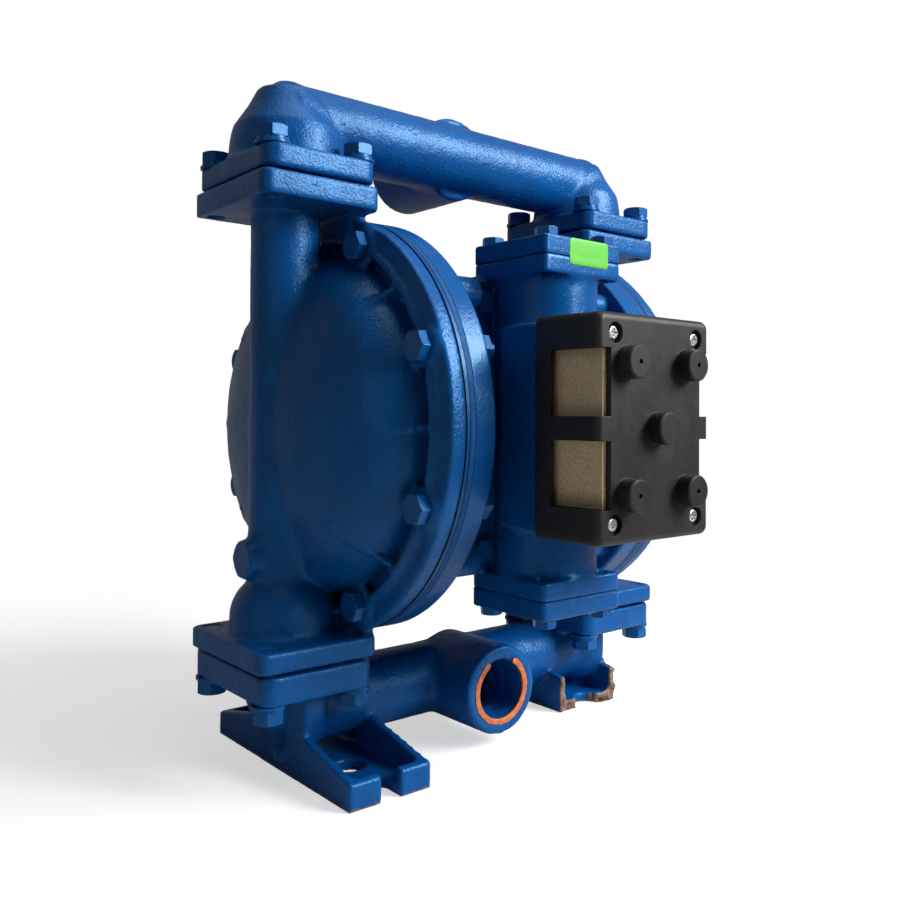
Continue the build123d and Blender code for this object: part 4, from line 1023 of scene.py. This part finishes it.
def dress_nodes() -> None:
    """Give every CAD node that still shows its finish."""
    wardrobe = {
        FETTLED: both("inner_chamber") + ["top_end_cap", "bottom_end_cap"],
        SHADED: ["centre_housing"],
        BRUSHED: both("chamber_bolts", "chamber_nuts")
        + ["suction_bolts", "discharge_bolts", "suction_washers", "discharge_washers"]
        + ["top_cap_bolts", "bottom_cap_bolts", "valve_mount_screws"],
        MOULDING: ["muffler"],
        RUBBER: both("diaphragm")
        + ["suction_seals", "discharge_seals", "rod_seals", "top_gasket", "bottom_gasket"]
        + ["top_bumper", "bottom_bumper"],
        WHITE: both("overlay", "suction_ball", "discharge_ball"),
        ZINC: ["muffler_screws", "housing_screws"],
        STEEL: both("outer_plate", "inner_plate", "suction_seat", "discharge_seat", "plunger")
        + ["rod", "pilot_spool"],
        BRONZE: both("rod_bushing", "plunger_bush") + ["pilot_body"],
        ANODISED: ["valve_sleeve", "valve_spool"],
        Felt("filter felt"): ["muffler_foam"],
    }
    for finish, nodes in wardrobe.items():
        material = finish.make()
        for name in nodes:
            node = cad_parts[name]
            node.data.materials.clear()
            node.data.materials.append(material)
            LOG.info("%s wears %s", name, finish.name)


# ---------------------------------------------------------------- studio
@dataclass(frozen=True)
class Lamp:
    """One soft square lamp that faces the pump."""

    name: str
    place: tuple[float, float, float]
    size: float
    power: float

    def hang(self, aim: tuple[float, float, float]) -> None:
        """Put the lamp in the scene and turn it to what it lights."""
        light = bpy.data.lights.new(self.name, "AREA")
        light.shape, light.size, light.energy = "SQUARE", self.size, self.power
        holder = bpy.data.objects.new(self.name, light)
        place = Vector(self.place)
        turn = (Vector(aim) - place).to_track_quat("-Z", "Y").to_matrix().to_4x4()
        holder.matrix_world = Matrix.Translation(place) @ turn
        bpy.context.scene.collection.objects.link(holder)


LAMPS = (
    Lamp("key", (1.0, -1.2, 1.3), size=0.8, power=44.0),
    Lamp("window", (0.63, -1.36, 0.8), size=0.5, power=14.0),
    Lamp("top", (0.1, -0.3, 1.9), size=1.2, power=8.0),
    Lamp("left", (-1.9, -0.6, 0.6), size=1.2, power=1.6),
)


@dataclass
class Studio:
    """A pale floor that fades into a white surround, four soft lamps and the camera."""

    camera: tuple[float, float, float] = (-0.4616, -0.54895, 0.2515)
    heading: float = 40.8
    pitch: float = 0.7
    roll: float = -0.3
    sensor_width: float = 36.0
    focal_length: float = 36.58
    shift: tuple[float, float] = (-0.0454, -0.0532)
    clip: tuple[float, float] = (0.01, 50.0)
    aim: tuple[float, float, float] = (0.0, ROD_Y, 0.25)
    fill: float = 0.07
    gloss: float = 0.16
    floor_glow: float = 0.58
    floor_half_width: float = 6.0
    floor_cells: int = 24
    floor_height: float = -0.0002
    floor_fade: tuple[float, float] = (0.4, 0.95)

    def floor(self) -> None:
        """A broad floor whose colour is pale, and which the camera sees as near white."""
        steps = np.linspace(-self.floor_half_width, self.floor_half_width, self.floor_cells + 1)
        x, y = np.meshgrid(steps, steps)
        points = np.stack([x, y, np.full_like(x, self.floor_height)], axis=-1).reshape(-1, 3)
        index = np.arange(x.size).reshape(x.shape)
        quads = np.stack([index[:-1, :-1], index[:-1, 1:], index[1:, 1:], index[1:, :-1]], axis=-1)
        mesh = bpy.data.meshes.new("floor")
        mesh.from_pydata(points.tolist(), [], quads.reshape(-1, 4).tolist())
        shader = Shader(bpy.data.materials.new("pale floor"))
        tone = shader.mix(shader.noise(0.6) * 0.3, FLOOR_GREY, DEEP_FLOOR_GREY)
        reach = shader.node("ShaderNodeVectorMath", {"operation": "LENGTH"}, {0: shader.place()}, "Value")
        seen = shader.node("ShaderNodeLightPath", output="Is Camera Ray")
        mesh.materials.append(
            shader.finish(
                Base_Color=tone,
                Roughness=0.8,
                Alpha=1.0 - shader.clamp(reach, *self.floor_fade),
                Emission_Color=shader.mix(seen * self.floor_glow, BLACK, PURE_WHITE),
                Emission_Strength=1.0,
            )
        )
        floor = bpy.data.objects.new("floor", mesh)
        bpy.context.scene.collection.objects.link(floor)

    def surround(self) -> None:
        """A world that lights the pump faintly, is white to the camera and shows in gloss and glass."""
        world = bpy.data.worlds.new("studio")
        bpy.context.scene.world = world
        shader = Shader(world)
        seen, gloss, glass = (
            shader.node("ShaderNodeLightPath", output=f"Is {ray} Ray")
            for ray in ("Camera", "Glossy", "Transmission")
        )
        level = shader.maths("MINIMUM", seen + (gloss + glass) * self.gloss + self.fill, 1.0)
        back = shader.node("ShaderNodeBackground", inputs={"Color": PURE_WHITE, "Strength": level})
        shader.node("ShaderNodeOutputWorld", inputs={"Surface": back})

    def shoot(self) -> None:
        """Set the camera."""
        lens = bpy.data.cameras.new("camera")
        lens.sensor_width, lens.lens = self.sensor_width, self.focal_length
        lens.shift_x, lens.shift_y = self.shift
        lens.clip_start, lens.clip_end = self.clip
        holder = bpy.data.objects.new("camera", lens)
        heading, pitch = math.radians(self.heading), math.radians(self.pitch)
        level = math.cos(pitch)
        look = Vector((math.sin(heading) * level, math.cos(heading) * level, math.sin(pitch)))
        roll = Matrix.Rotation(math.radians(self.roll), 4, look)
        turn = look.to_track_quat("-Z", "Y").to_matrix().to_4x4()
        holder.matrix_world = Matrix.Translation(Vector(self.camera)) @ roll @ turn
        bpy.context.scene.collection.objects.link(holder)
        bpy.context.scene.camera = holder

    def build(self) -> None:
        """Set up the whole studio."""
        bpy.context.scene.view_settings.view_transform = "Standard"
        self.floor()
        self.surround()
        for lamp in LAMPS:
            lamp.hang(self.aim)
        self.shoot()


def main() -> None:
    """Build the castings, the small pieces and the studio, and dress the rest."""
    logging.basicConfig(level=logging.INFO, format="%(message)s")
    rough = ROUGH_CAST.make()
    for side in Side:
        OuterChamberCasting(side.value + "outer_chamber").build(rough)
    SuctionManifold("suction_manifold", voxel=0.0018).build(rough)
    DischargeManifold("discharge_manifold", voxel=0.0018, pipe_height=0.458, joint=0.4105).build(rough)
    ValveBodyCasting("valve_body", voxel=0.0016, fillet_rounds=20).build(FETTLED_BODY.make())
    PortCompound().build(Compound("thread compound").make())
    LabelFilm().build(Film("label film").make())
    dress_nodes()
    Studio().build()


if __name__ == "__main__":
    main()
